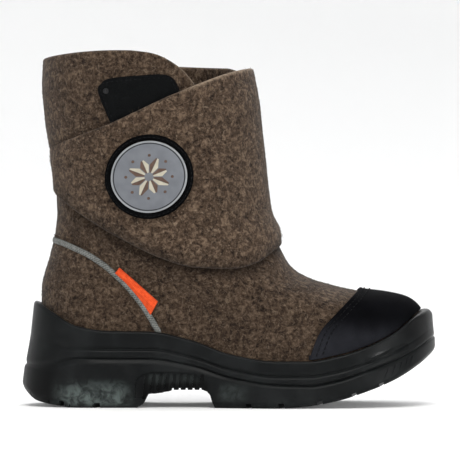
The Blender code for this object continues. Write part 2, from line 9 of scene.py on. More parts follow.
import bmesh
import bpy
import math
import numpy as np
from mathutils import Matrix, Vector, noise


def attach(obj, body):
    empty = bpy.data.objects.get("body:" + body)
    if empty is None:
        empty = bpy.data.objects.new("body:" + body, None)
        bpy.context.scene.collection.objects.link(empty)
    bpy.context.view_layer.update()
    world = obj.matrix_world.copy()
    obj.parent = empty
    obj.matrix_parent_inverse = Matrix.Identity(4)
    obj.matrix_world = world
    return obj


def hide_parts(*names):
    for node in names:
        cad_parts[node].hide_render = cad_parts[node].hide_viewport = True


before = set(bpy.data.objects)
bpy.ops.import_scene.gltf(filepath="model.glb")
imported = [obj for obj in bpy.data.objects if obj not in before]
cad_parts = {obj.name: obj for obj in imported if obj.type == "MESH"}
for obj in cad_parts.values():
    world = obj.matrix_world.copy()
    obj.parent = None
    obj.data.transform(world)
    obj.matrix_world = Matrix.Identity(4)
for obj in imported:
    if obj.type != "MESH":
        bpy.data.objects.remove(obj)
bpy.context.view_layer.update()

MM = 0.001

# Camera: the photo's view of the outer side, level with the middle of the boot
CAMERA_DISTANCE = 2000.0
CAMERA_HEIGHT = 95.0
PICTURE_WIDTH = 250.0
SENSOR = 36.0

# Lights: place in metres, size, power and colour
LIGHTS = {
    "key": ((-0.05, -1.58, 2.1), 1.0, 32.5, (1.0, 0.99, 0.96)),
    "fill": ((-1.4, -1.6, 0.9), 1.2, 3.5, (0.98, 0.99, 1.0)),
    "glint": ((1.42, -1.38, 0.48), 0.30, 8.0, (1.0, 1.0, 1.0)),
    "top": ((0.0, 0.3, 2.5), 1.8, 21.0, (1.0, 1.0, 1.0)),
    "back": ((0.5, 1.8, 1.6), 1.2, 14.0, (1.0, 1.0, 1.0)),
}
LIT_POINT = (0.0, 0.0, 0.09)
AIR_COLOUR, AIR_STRENGTH = (0.95, 0.97, 1.0, 1.0), 0.36

# Driving sizes of the boot
FELT = 3.2               # wall of the upper and of the flap
GAP = 0.3                # clearance between pieces that touch
CUP_GAP = 0.4            # clearance between the upper and the sole's cup
TOE_SWING = 6.0          # how far the toe turns to the inner side
SIDE_SHIFT = 0.7         # moves the foot's line to the inner side, so the origin is in the middle
INSOLE = 4.0
CAP = 1.5
PATCH = 1.0
PIPING_WIDTH = 3.2
PIPING_HEIGHT = 1.2
PIPING_FLAT = 0.45       # share of its height that the piping has behind the heel
TAG = 0.9

# Extra rows of points near a sheet's edge, for its rounding: their distances from the edge
EDGE_STEPS = (0.0, 0.08, 0.3, 0.65, 1.1, 1.7)

# Runs on the upper: millimetres up the shaft for one level, and round the leg for one degree of turn
LEVEL_RUN, TURN_RUN = 17.0, 0.9

# Loose wool fibres: how many lie on the upper and on the flap, and about how long they are
UPPER_FIBRES, FLAP_FIBRES, FIBRE_LENGTH = 7000, 6500, 3.0
UPPER_SEED, FLAP_SEED = 11, 12

# Stitches of each seam: their length, the space between them and the thread's radius
CAP_STITCH = (2.1, 0.75, 0.28)
PATCH_STITCH = (1.8, 0.7, 0.24)
BADGE_STITCH = (1.7, 0.8, 0.2)
PIPING_STITCH = (2.2, 0.9, 0.22)
VAMP_STITCH = (1.5, 1.3, 0.24)
FLAP_STITCH = (2.4, 1.0, 0.24)


# Curves through rows of numbers

def row_slopes(keys, values):
    """Slope at each row: the mean of its two sides, or level at a peak, a dip or an end."""
    steps = np.diff(values, axis=0) / np.diff(keys).reshape(-1, *[1] * (values.ndim - 1))
    before, after = steps[:-1], steps[1:]
    total = np.where(before * after > 0, before + after, 1.0)
    inner = np.where(before * after > 0, 2 * before * after / total, 0.0)
    return np.concatenate([steps[:1], inner, steps[-1:]])


def curve_through(keys, values, key):
    """Smooth curve through rows of values, without overshoot, read at each key."""
    key = np.clip(np.asarray(key, float), keys[0], keys[-1])
    i = np.clip(np.searchsorted(keys, key, side="right") - 1, 0, len(keys) - 2)
    slopes = row_slopes(keys, values)
    shape = key.shape + (1,) * (values.ndim - 1)
    span = (keys[i + 1] - keys[i]).reshape(shape)
    t = (key - keys[i]).reshape(shape) / span
    return ((2 * t**3 - 3 * t**2 + 1) * values[i] + (t**3 - 2 * t**2 + t) * slopes[i] * span
            + (3 * t**2 - 2 * t**3) * values[i + 1] + (t**3 - t**2) * slopes[i + 1] * span)


class Table:
    """Rows of named columns. The first column is the key by which the others are read."""

    def __init__(self, columns, *rows):
        self.names = columns.split()
        self.values = dict(zip(self.names, np.array(rows, float).T))
        self.keys = self.values[self.names[0]]

    def __call__(self, name, key):
        return curve_through(self.keys, self.values[name], key)


# Rings of the upper's outer face, from the bottom edge to just above the collar. Each ring runs from a
# point at the front to a point at the back. It dips by sag on the sides, is outer and inner wide on
# either side, and has the foot's outline where foot is 1 and an oval where foot is 0. Floor is how far
# it follows the curved floor of the sole, and crown is how far its outer side rises.
RINGS = Table(
    "level front_x front_z back_x back_z  sag outer inner foot floor crown",
    (0, 103.5, 27.0, -97.0, 23.4, 0.0, 40.0, 38.0, 1.00, 1.00, 0.0),
    (1, 106.0, 33.5, -100.5, 38.0, 4.0, 41.0, 39.0, 1.00, 0.80, 0.0),
    (2, 105.8, 43.5, -102.4, 54.0, 9.0, 40.5, 38.8, 0.95, 0.50, 0.0),
    (3, 102.5, 51.8, -102.3, 64.0, 13.0, 39.5, 38.0, 0.90, 0.25, 0.0),
    (4, 96.0, 57.2, -100.2, 73.3, 15.0, 38.5, 37.5, 0.80, 0.10, 0.0),
    (5, 86.0, 59.8, -97.5, 81.3, 15.5, 38.0, 37.5, 0.65, 0.0, 0.0),
    (6, 70.0, 62.0, -95.7, 88.8, 15.0, 38.0, 37.5, 0.50, 0.0, 0.0),
    (7, 55.0, 65.4, -95.0, 95.8, 14.0, 38.5, 38.0, 0.35, 0.0, 0.0),
    (8, 43.0, 69.0, -94.5, 101.8, 12.5, 39.0, 38.5, 0.22, 0.0, 0.0),
    (9, 35.0, 73.9, -94.2, 106.8, 11.0, 39.5, 39.0, 0.12, 0.0, 0.0),
    (10, 29.5, 80.4, -94.1, 111.8, 9.0, 40.0, 39.5, 0.05, 0.0, 0.0),
    (11, 25.2, 89.8, -94.4, 117.8, 7.0, 40.8, 40.3, 0.0, 0.0, 0.0),
    (12, 19.7, 101.8, -95.0, 126.8, 5.0, 42.0, 41.5, 0.0, 0.0, 0.0),
    (13, 17.5, 115.0, -97.4, 136.8, 3.0, 43.2, 42.7, 0.0, 0.0, 0.0),
    (14, 15.6, 131.5, -99.7, 148.0, 1.5, 44.4, 43.9, 0.0, 0.0, 0.5),
    (15, 13.7, 148.0, -101.1, 160.0, 0.5, 45.5, 45.0, 0.0, 0.0, 1.0),
    (16, 12.0, 165.0, -102.0, 173.0, 0.0, 46.5, 46.0, 0.0, 0.0, 2.5),
    (17, 9.0, 182.3, -101.5, 188.0, 0.0, 47.5, 47.0, 0.0, 0.0, 5.0),
    (18, 6.0, 199.5, -101.0, 201.7, 0.0, 48.5, 48.0, 0.0, 0.0, 6.6),
)
COLLAR = 17
COLLAR_LIFT = 1.4       # how far the collar's inner side stands above its ring

# The foot's outline, as shares of the ring's width, along the foot from the heel (0) to the toe (1)
FOOT_OUTLINE = Table(
    "along outer inner",
    (0.00, 0.73, 0.75),
    (0.15, 0.74, 0.76),
    (0.40, 0.77, 0.68),
    (0.64, 1.00, 0.93),
    (0.78, 1.00, 1.00),
    (1.00, 0.97, 1.00),
)
HEEL_ROUND, TOE_ROUND = 0.16, 0.24    # lengths of the rounded ends, as shares of the foot

# Lines of the sole along X: the floor inside, the rim's top, the grooves beside the bead, and the tread,
# with the rim's wall, how far the side flares out at the tread, and how much of the bead there is
SOLE_LINES = Table(
    "x floor rim bead_top bead_low tread rim_wall flare bead",
    (-113, 23.5, 59.0, 35.5, 23.0, 10.5, 3.6, 10.7, 0.0),
    (-104, 23.5, 56.2, 35.0, 22.3, 3.4, 3.6, 9.4, 0.0),
    (-95, 23.4, 50.8, 33.8, 23.0, 1.5, 3.4, 7.2, 0.1),
    (-82, 23.0, 43.6, 31.6, 26.2, 0.0, 3.2, 5.5, 0.9),
    (-65, 22.2, 41.0, 31.2, 26.0, 0.0, 3.0, 4.4, 1.0),
    (-43, 20.5, 40.7, 31.2, 25.9, 0.0, 3.0, 4.0, 1.0),
    (-20, 17.5, 35.9, 26.9, 22.3, 0.0, 3.0, 4.0, 1.0),
    (0, 14.8, 28.7, 20.5, 16.2, 0.0, 3.0, 4.2, 1.0),
    (25, 13.4, 25.0, 16.8, 12.5, 0.0, 3.2, 4.4, 1.0),
    (42, 14.0, 25.0, 16.9, 12.0, 1.2, 3.4, 4.8, 1.0),
    (56, 15.4, 27.3, 19.2, 14.3, 3.7, 3.8, 5.2, 1.0),
    (71, 18.0, 31.6, 23.3, 19.0, 8.2, 4.4, 5.4, 0.9),
    (88, 22.0, 39.8, 30.2, 25.0, 14.9, 5.2, 5.0, 0.35),
    (102, 26.5, 50.2, 37.6, 32.2, 23.0, 6.4, 3.5, 0.05),
    (107, 28.2, 52.5, 40.8, 35.4, 26.6, 7.4, 2.3, 0.0),
    (113, 30.0, 52.8, 43.5, 38.4, 31.0, 7.8, 1.8, 0.0),
)

# Steps of the sole's side, from under the tread's edge up: how far the row lies between two of the lines
# above, how far it stands out from the flared wall, how far where the bead has run out, and how round
# its corner is
SOLE_STEPS = (
    ("tread", "bead_low", 0.00, -6.0, -6.0, 0.0),
    ("tread", "bead_low", 0.00, -2.2, -2.2, 0.8),
    ("tread", "bead_low", 0.16, -0.3, -0.3, 1.4),
    ("tread", "bead_low", 0.90, 0.0, 0.4, 1.2),
    ("tread", "bead_low", 1.00, -1.0, -0.5, 0.35),
    ("bead_low", "bead_top", 0.18, 0.6, 0.2, 0.9),
    ("bead_low", "bead_top", 0.82, 0.6, 0.2, 0.9),
    ("bead_low", "bead_top", 1.00, -0.75, 0.2, 0.35),
    ("bead_top", "rim", 0.14, 0.2, 0.2, 1.0),
    ("bead_top", "rim", 0.93, 0.2, 0.2, 1.2),
    ("bead_top", "rim", 1.00, -0.9, -0.9, 0.9),
)

FLARE_CURVE = 1.4
CUP_RADII = (0.7, 0.3, 0.3, 0.0)       # corners of the cup's inner wall, from the rim down to the floor

# The rim's top corner, which is the last two steps, grows rounder between these places
TOE_CORNER_X = (92.0, 104.0)
TOE_CORNER_SHARE, TOE_CORNER_IN, TOE_CORNER_RADIUS = 0.76, -2.4, 1.6

# Arch: side view of the gap between heel block and forefoot, and the flutes that leave its ribs
ARCH = Table(
    "x z",
    (-51.5, -2.0),
    (-49.2, 0.5),
    (-46.6, 1.9),
    (-45.3, 3.7),
    (-44.6, 6.2),
    (-43.4, 7.4),
    (-38.0, 7.8),
    (-33.0, 8.8),
    (-29.5, 9.6),
    (-14.5, 9.6),
    (-12.2, 8.7),
    (-10.7, 7.0),
    (-9.5, 3.0),
    (-8.6, 1.2),
    (-7.2, -2.0),
)
ARCH_HEIGHT = 9.6
FLUTES, FLUTE_FIRST, FLUTE_PITCH = 9, -45.4, 3.7
FLUTE_WIDTH, FLUTE_DEPTH, FLUTE_TOP = 1.9, 3.0, 18.2
TOOTH_FIRST = 4
ACROSS = 70.0       # far outside either side of the boot

# Pocket in either side, in which the arch's ribs stand: its upper edge
POCKET = Table(
    "x top",
    (-51.0, 12.0),
    (-49.6, 15.8),
    (-46.5, 18.0),
    (-42.0, 19.0),
    (-36.0, 19.4),
    (-30.0, 19.3),
    (-24.0, 18.7),
    (-19.0, 17.8),
    (-15.5, 16.6),
    (-13.2, 14.8),
    (-12.2, 12.6),
)

# Lugs: the grooves across the tread, and the channels along it
LUG_GROOVES = Table(
    "x width depth",
    (-92.9, 3.0, 2.4),
    (-72.9, 3.4, 2.6),
    (10.2, 3.2, 2.4),
    (28.4, 3.2, 2.4),
    (48.5, 3.0, 2.0),
    (66.5, 2.4, 1.5),
    (79.9, 2.2, 1.4),
)
LUG_SWEEP = 12.0
CHANNEL_WIDTH, CHANNEL_DEPTH = 5.0, 2.4
CHANNELS = ((-104.0, -52.0), (-4.0, 84.0))

# Flap: its lower and upper edge at each turn, from its round tip behind the leg to its seam on the inner
# side, the share of the felt's thickness there and at its lower edge, and how far the patch lifts it
FLAP = Table(
    "turn low top felt low_felt lift",
    (-13.0, 126.5, 130.0, 0.6, 0.6, 0.0),
    (-10.0, 122.5, 133.5, 0.6, 0.6, 0.0),
    (-4.0, 119.4, 136.0, 0.6, 0.6, 0.0),
    (8.0, 116.8, 138.0, 0.7, 0.7, 0.0),
    (28.0, 110.5, 141.0, 1.0, 1.0, 0.3),
    (47.0, 101.0, 145.0, 1.0, 1.0, 0.8),
    (67.0, 89.8, 150.8, 1.0, 1.0, 1.0),
    (84.0, 80.5, 158.0, 1.0, 1.0, 1.0),
    (99.0, 75.2, 165.0, 1.0, 1.0, 1.0),
    (118.0, 74.0, 172.5, 1.0, 1.0, 0.8),
    (136.0, 77.2, 177.8, 1.0, 0.9, 0.3),
    (147.0, 80.6, 179.8, 1.0, 0.75, 0.1),
    (158.0, 83.8, 181.2, 1.0, 0.6, 0.0),
    (180.0, 87.6, 182.4, 1.0, 0.4, 0.0),
    (200.0, 90.2, 182.4, 0.9, 0.4, 0.0),
    (214.0, 93.0, 182.2, 0.3, 0.3, 0.0),
)

# Dent that the flap's tip presses into the felt, and how much deeper the upper gives way there
TIP_DENT, UPPER_DENT = 1.3, 1.3

# Throat: the opening in the upper behind the flap, between two turns at each height
THROAT = Table(
    "z outer inner",
    (93.0, 141.0, 197.0),
    (118.0, 137.0, 199.0),
    (147.0, 131.0, 200.0),
    (163.0, 124.5, 200.0),
    (173.0, 118.0, 200.0),
    (180.0, 112.0, 200.0),
    (184.0, 106.5, 200.0),
    (187.0, 101.0, 200.0),
    (188.8, 95.5, 200.0),
    (189.7, 90.5, 200.0),
    (190.3, 84.0, 200.0),
    (198.0, 60.0, 200.0),
)
THROAT_LEVEL = 11.25

# Toe cap: x of its back edge at each height, on either side
CAP_EDGE = Table(
    "z outer inner",
    (25.4, 41.8, 55.0),
    (40.0, 47.7, 57.5),
    (49.5, 56.2, 62.5),
    (57.5, 64.8, 67.5),
    (62.0, 70.0, 70.0),
)
CAP_LEAN = 0.8             # distance from the slanted edge for one millimetre along X
CAP_SEAMS = (2.6, 5.1)     # distances of the two seams from the edge
CAP_GROOVES = (2.7, 5.2)   # distances of the grooves in which the seams lie

# Hook-and-loop patch, seen from the outer side: a slanted strip with rounded corners
PATCH_X, PATCH_Z = -46.0, 162.7
PATCH_LENGTH, PATCH_WIDTH = 42.8, 29.0
PATCH_TILT, PATCH_SLANT = 4.0, 0.34
RIVET_X, RIVET_Z, RIVET_SIZE = -65.6, 169.0, 1.5

# Badge on the flap, seen from the outer side
BADGE_X, BADGE_Z = -42.6, 123.8
BADGE_WIDTH, BADGE_TALL = 43.6, 44.4
BADGE_RING = 2.9
BADGE_RIM_HEIGHT, BADGE_FACE_HEIGHT = 2.4, 1.7
STAR_TIP, STAR_WAIST, STAR_POINTS = 12.4, 6.4, 8
STAR_SHORT = 0.86       # share of its length that every other point has
DOT_PLACE = 11.3

# Piping in the counter seam, from the inner side of the sole's rim round the heel to the outer side:
# turn and height on the outer side, which the inner side mirrors
PIPING_SIDE = (
    (17.0, 88.6),
    (37.4, 83.2),
    (48.8, 76.2),
    (56.7, 66.0),
    (62.0, 56.3),
    (65.3, 48.0),
    (67.0, 42.0),
    (68.4, 37.0),
)
PIPING_ROUTE = Table("turn z", *((-turn, z) for turn, z in PIPING_SIDE[::-1]), (0.0, 89.8), *PIPING_SIDE)
PIPING_SINK = 1.7      # how far its ends go into the felt, behind the sole's rim
TAG_UPPER, TAG_LOWER = 53.0, 65.0
TAG_NARROW, TAG_WIDE, TAG_SLANT = 3.0, 6.2, 4.0
TAG_LIFT = 1.6

# Creases of the upper: soft troughs between two points seen from one side, with a ridge along each
CREASES = (
    # side, first x and z, last x and z, bow, depth, half-width
    ("outer", 27.0, 54.0, 13.0, 29.0, 1.5, 0.55, 2.6),
    ("outer", 34.0, 72.0, -8.0, 60.0, 4.0, 1.10, 6.0),
    ("outer", -100.0, 101.0, -62.0, 90.0, -3.0, 1.00, 6.5),
    ("outer", -101.0, 112.0, -76.0, 104.0, -2.0, 0.70, 5.0),
    ("outer", -52.0, 80.0, -22.0, 58.0, 2.0, 0.60, 7.0),
    ("outer", 38.0, 46.0, 8.0, 44.0, -3.0, 0.45, 6.0),
    ("inner", 33.0, 74.0, -6.0, 60.0, 3.0, 2.00, 5.0),
    ("inner", 30.0, 62.0, 6.0, 45.0, 2.0, 0.80, 5.0),
    ("inner", -100.0, 102.0, -64.0, 92.0, -3.0, 1.00, 6.5),
    ("inner", -60.0, 118.0, -10.0, 106.0, 3.0, 0.70, 8.0),
    ("inner", -72.0, 62.0, -46.0, 52.0, 2.0, 0.50, 6.0),
)


# The upper's surface

def between(a, b, share):
    return a + (b - a) * share


def ramp(value, start, end):
    """Smooth change from 0 at start to 1 at end."""
    share = np.clip((value - start) / (end - start), 0.0, 1.0)
    return share * share * (3 - 2 * share)


def bump(distance, width):
    """Soft hump of height 1 round distance 0."""
    return np.exp(-(distance / width) ** 2)


def unit(vectors):
    return vectors / np.maximum(np.linalg.norm(vectors, axis=-1, keepdims=True), 1e-9)


def round_end(distance, length):
    """Half-width share of a rounded end of this length, at this distance from its tip."""
    t = np.clip(distance / length, 0.0, 1.0)
    return np.sqrt(1 - (1 - t) ** 2.2)


def ring_points(turn):
    """Points of every ring at these turns: an array of rings, turns and axes."""
    angle = np.radians(turn)
    along = (1 - np.cos(angle)) / 2
    outer = np.sin(angle) >= 0
    ring = {name: values[:, None] for name, values in RINGS.values.items()}
    x = between(ring["back_x"], ring["front_x"], along)
    z = between(ring["back_z"], ring["front_z"], along) - ring["sag"] * 4 * along * (1 - along)
    ends = between(SOLE_LINES("floor", ring["back_x"]), SOLE_LINES("floor", ring["front_x"]), along)
    z = z + (SOLE_LINES("floor", x) - ends) * ring["floor"]
    z = z + np.where(outer, ring["crown"] * np.sin(angle) ** 2, 0.0)
    oval = np.abs(np.sin(angle)) ** 0.92
    outline = np.where(outer, FOOT_OUTLINE("outer", along), FOOT_OUTLINE("inner", along))
    foot = outline * round_end(along, HEEL_ROUND) * round_end(1 - along, TOE_ROUND)
    swing = SIDE_SHIFT + TOE_SWING * ring["foot"] * ramp(along, 0.5, 1.0)
    width = np.where(outer, -ring["outer"], ring["inner"])
    y = width * between(oval, foot, ring["foot"]) + swing
    return np.stack([x, y, z], axis=-1)


TURN_STEP, LEVEL_STEP = 0.5, 0.05
TOP_LEVEL = int(RINGS.keys[-1])
TURNS = np.arange(0, 360, TURN_STEP)
LEVELS = np.linspace(0, TOP_LEVEL, round(TOP_LEVEL / LEVEL_STEP) + 1)
POINTS = curve_through(RINGS.keys, ring_points(TURNS), LEVELS)
AROUND = np.roll(POINTS, -1, axis=1) - np.roll(POINTS, 1, axis=1)
NORMALS = unit(np.cross(AROUND, np.gradient(POINTS, axis=0)))


def sample(grid, turn, level):
    """Value of a grid of the surface, read between its points."""
    turn, level = np.broadcast_arrays(np.asarray(turn, float), np.asarray(level, float))
    a, b = (turn % 360) / TURN_STEP, np.clip(level, 0, TOP_LEVEL) / LEVEL_STEP
    i = np.floor(a).astype(int) % len(TURNS)
    j = np.minimum(np.floor(b).astype(int), len(LEVELS) - 2)
    fa, fb = (a - np.floor(a))[..., None], (b - j)[..., None]
    k = (i + 1) % len(TURNS)
    low = between(grid[j, i], grid[j, k], fa)
    return between(low, between(grid[j + 1, i], grid[j + 1, k], fa), fb)


def surface(turn, level):
    return sample(POINTS, turn, level)


def outward(turn, level):
    return unit(sample(NORMALS, turn, level))


def skin(turn, level, out):
    """Point this far outside the upper's outer face."""
    return surface(turn, level) + outward(turn, level) * np.asarray(out, float)[..., None]


HEIGHTS = POINTS[..., 2:]


def bisect(shape, high, goes_on, rounds):
    """Number between 0 and high at which goes_on turns from true to false, at each place of an array."""
    low, high = np.zeros(shape), np.full(shape, float(high))
    for _ in range(rounds):
        middle = (low + high) / 2
        onwards = goes_on(middle)
        low, high = np.where(onwards, middle, low), np.where(onwards, high, middle)
    return (low + high) / 2


def level_at(turn, z):
    """Level where the upper's face has this height."""
    turn, z = np.broadcast_arrays(np.asarray(turn, float), np.asarray(z, float))
    return bisect(turn.shape, TOP_LEVEL, lambda level: sample(HEIGHTS, turn, level)[..., 0] < z, 22)


def side_spot(x, z, outer=True):
    """Turn and level of the point that lies at x and z, seen from one side."""
    x, z = np.broadcast_arrays(np.asarray(x, float), np.asarray(z, float))
    level = np.full(x.shape, 8.0)
    for _ in range(10):
        back, front = surface(0, level)[..., 0], surface(180, level)[..., 0]
        along = np.clip((x - back) / (front - back), 0.0, 1.0)
        turn = np.degrees(np.arccos(1 - 2 * along)) * (1 if outer else -1)
        level = level_at(turn, z)
    return turn, level


def crease_depth(turn, points):
    """How far the listed creases move the upper's face outwards."""
    outer = np.sin(np.radians(turn)) >= 0
    x, z = points[..., 0], points[..., 2]
    moved = np.zeros(x.shape)
    for side, x1, z1, x2, z2, bow, depth, width in CREASES:
        length = math.hypot(x2 - x1, z2 - z1)
        ux, uz = (x2 - x1) / length, (z2 - z1) / length
        along = ((x - x1) * ux + (z - z1) * uz) / length
        inside = np.clip(along, 0.0, 1.0)
        across = (z - z1) * ux - (x - x1) * uz - bow * 4 * inside * (1 - inside)
        past = (along - inside) * length
        fade = np.sin(np.pi * np.clip(inside * 0.9 + 0.05, 0, 1)) ** 0.7 * bump(past, width)
        trough = bump(across, width)
        ridges = bump(np.abs(across) - 2.0 * width, 0.9 * width)
        here = outer if side == "outer" else ~outer
        moved += np.where(here, depth * fade * (0.45 * ridges - trough), 0.0)
    return moved


def lumps(points, size, seed):
    """Soft random unevenness between about -1 and 1, with lumps of this size."""
    flat = points.reshape(-1, 3) / size + seed
    return np.array([noise.noise(Vector(p)) for p in flat]).reshape(points.shape[:-1])


# Mesh helpers

def add_piece(name, verts, faces, finish, slot, *nodes):
    """Piece made from points in millimetres, which stands for the solids that are named."""
    mesh = bpy.data.meshes.new(name)
    mesh.from_pydata((np.asarray(verts, float) * MM).tolist(), [], [list(map(int, face)) for face in faces])
    mesh.shade_smooth()
    mesh.materials.append(finish)
    piece = bpy.data.objects.new(name, mesh)
    bpy.context.scene.collection.objects.link(piece)
    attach(piece, "root")
    if nodes:
        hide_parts(*nodes)
    return piece


def set_attribute(piece, name, values):
    """Number at each point of a piece, for its material."""
    numbers = np.asarray(values, float).ravel()
    piece.data.attributes.new(name, "FLOAT", "POINT").data.foreach_set("value", numbers)


def set_on_shell(piece, name, values, used):
    """The same for a shell, whose two faces take the values of one grid."""
    set_attribute(piece, name, np.tile(values.ravel(), 2)[used])


def sharpen(piece, degrees):
    piece.data.set_sharp_from_angle(angle=math.radians(degrees))


def quads(index, closed=False):
    """Faces of a grid of point numbers, whose rows run up and whose columns run round."""
    if closed:
        index = np.concatenate([index, index[:, :1]], axis=1)
    return np.stack([index[:-1, :-1], index[:-1, 1:], index[1:, 1:], index[1:, :-1]], axis=-1)


def shell(points, normals, thickness, edge, closed=False, keep=None):
    """Sheet with its outer face on these points, and with round edges where the distance edge is small."""
    rows, columns = edge.shape
    half = np.broadcast_to(np.asarray(thickness, float) / 2, edge.shape)
    share = np.clip(edge / half, 0, 1)
    bulge = half * np.sqrt(1 - (1 - share) ** 2)
    middle = points - normals * half[..., None]
    outer, inner = middle + normals * bulge[..., None], middle - normals * bulge[..., None]
    index = np.arange(rows * columns).reshape(rows, columns)
    under = np.where(edge <= 0, index, index + rows * columns)
    top, bottom = quads(index, closed), quads(under, closed)[..., ::-1]
    if keep is not None:
        top, bottom = top[keep], bottom[keep]
    faces = np.concatenate([top.reshape(-1, 4), bottom.reshape(-1, 4)])
    used, faces = np.unique(faces, return_inverse=True)
    verts = np.concatenate([outer.reshape(-1, 3), inner.reshape(-1, 3)])[used]
    return verts, faces.reshape(-1, 4), used


def graded(first, last, count, edges, step):
    """Rising numbers from first to last, with these extra distances from either end."""
    near = np.asarray(edges, float) * step
    middle = np.linspace(first + near[-1] * 1.6, last - near[-1] * 1.6, count)
    return np.concatenate([first + near, middle, (last - near)[::-1]])


def tubes(paths, sides_up, radius, sides):
    """Many closed tubes along paths: an array of tubes, stations and axes."""
    count, stations, _ = paths.shape
    ahead = unit(np.gradient(paths, axis=1))
    across = unit(np.cross(sides_up, ahead))
    up = np.cross(ahead, across)
    angles = 2 * np.pi * np.arange(sides) / sides
    ring = across[:, :, None] * np.cos(angles)[:, None] + up[:, :, None] * np.sin(angles)[:, None]
    verts = paths[:, :, None] + ring * np.asarray(radius)[..., None, None]
    index = np.arange(count * stations * sides).reshape(count, stations, sides)
    wrap = np.roll(index, -1, axis=2)
    walls = np.stack([index[:, :-1], wrap[:, :-1], wrap[:, 1:], index[:, 1:]], axis=-1).reshape(-1, 4)
    ends = [*index[:, 0, ::-1].tolist(), *index[:, -1].tolist()]
    return verts.reshape(-1, 3), [*walls.tolist(), *ends]


def stitch_row(path, normals, length, space, radius):
    """Tubes and faces of a row of stitches along a path of points."""
    steps = np.linalg.norm(np.diff(path, axis=0), axis=1)
    run = np.concatenate([[0], np.cumsum(steps)])
    starts = np.arange(space, run[-1] - length, length + space)
    shares = np.linspace(0, 1, 7)
    at = starts[:, None] + shares * length
    line = np.stack([np.interp(at, run, path[:, k]) for k in range(3)], axis=-1)
    up = unit(np.stack([np.interp(at, run, normals[:, k]) for k in range(3)], axis=-1))
    rise = radius * (1.6 * np.sin(np.pi * shares) - 0.7)
    thick = radius * (0.55 + 0.45 * np.sin(np.pi * shares))
    return tubes(line + up * rise[:, None], up, np.broadcast_to(thick, at.shape), 6)


def joined(parts):
    """One list of points and faces from several."""
    verts, faces, first = [], [], 0
    for points, polygons in parts:
        verts.append(points)
        faces += [[int(k) + first for k in face] for face in polygons]
        first += len(points)
    return np.concatenate(verts), faces


def add_stitches(name, rows, thread, slot):
    """Piece made of rows of stitches."""
    verts, faces = joined(rows)
    add_piece(name, verts, faces, thread, slot)


def fuzz(points, normals, weight, count, length, seed):
    """Loose wool fibres that lie on a grid of points: tubes, and a tone for each point."""
    random = np.random.default_rng(seed)
    across, up = points[:-1, 1:] - points[:-1, :-1], points[1:, :-1] - points[:-1, :-1]
    area = np.linalg.norm(np.cross(across, up), axis=-1) * weight[:-1, :-1]
    cell = random.choice(area.size, size=count, p=(area / area.sum()).ravel())
    i, j = np.unravel_index(cell, area.shape)
    fa, fb = random.random((2, count, 1))
    start = points[i, j] + across[i, j] * fa + up[i, j] * fb
    out = normals[i, j]
    one = unit(across[i, j])
    two = np.cross(out, one)
    stations, sides = 5, 3
    share = np.linspace(0, 1, stations)
    reach = length * random.uniform(0.5, 1.4, (count, 1))
    heading = random.uniform(0, 2 * np.pi, (count, 1)) + random.normal(0, 1.3, (count, 1)) * share
    step = reach / stations
    flat = np.cumsum(np.stack([np.cos(heading), np.sin(heading)], axis=-1) * step[..., None], axis=1)
    lift = random.gamma(1.6, 0.07, (count, 1)) * np.sin(np.pi * share) ** 0.8 - 0.05
    paths = (start[:, None] + one[:, None] * flat[..., :1] + two[:, None] * flat[..., 1:]
             + out[:, None] * lift[..., None])
    radius = random.uniform(0.035, 0.075, (count, 1)) * (0.35 + 0.65 * np.sin(np.pi * share))
    ups = np.broadcast_to(out[:, None], paths.shape)
    verts, faces = tubes(paths, ups, radius, sides)
    return verts, faces, np.repeat(random.random(count), stations * sides)


def add_fibres(name, finish, points, normals, shown, count, seed):
    """Piece made of loose fibres, on the part of a felt face that is shown."""
    verts, faces, tone = fuzz(points, normals, shown.astype(float), count, FIBRE_LENGTH, seed)
    piece = add_piece(name, verts, faces, finish, "felt")
    set_attribute(piece, "tone", tone)


def bar(sections):
    """Closed bar through sections that have the same number of points."""
    sections = np.asarray(sections, float)
    count, points, _ = sections.shape
    index = np.arange(count * points).reshape(count, points)
    walls = quads(index, closed=True).reshape(-1, 4).tolist()
    return sections.reshape(-1, 3), [*walls, index[0][::-1].tolist(), index[-1].tolist()]


def cut_away(piece, parts):
    """Cuts closed bars out of a piece, and leaves the plain result."""
    mesh = bpy.data.meshes.new("cutter")
    verts, faces = joined(parts)
    mesh.from_pydata((verts * MM).tolist(), [], faces)
    cutter = bpy.data.objects.new("cutter", mesh)
    bpy.context.scene.collection.objects.link(cutter)
    recalculate(mesh)
    modifier = piece.modifiers.new("cut", "BOOLEAN")
    modifier.operation = "DIFFERENCE"
    modifier.object = cutter
    apply_modifiers(piece)
    bpy.data.objects.remove(cutter)


def recalculate(mesh):
    """Turns all faces of a closed mesh outwards."""
    bm = bmesh.new()
    bm.from_mesh(mesh)
    bmesh.ops.recalc_face_normals(bm, faces=bm.faces)
    bm.to_mesh(mesh)
    bm.free()


def apply_modifiers(piece):
    bpy.context.view_layer.update()
    shaped = bpy.data.meshes.new_from_object(piece.evaluated_get(bpy.context.evaluated_depsgraph_get()))
    old = piece.data
    piece.modifiers.clear()
    piece.data = shaped
    shaped.name = old.name
    bpy.data.meshes.remove(old)


# Materials

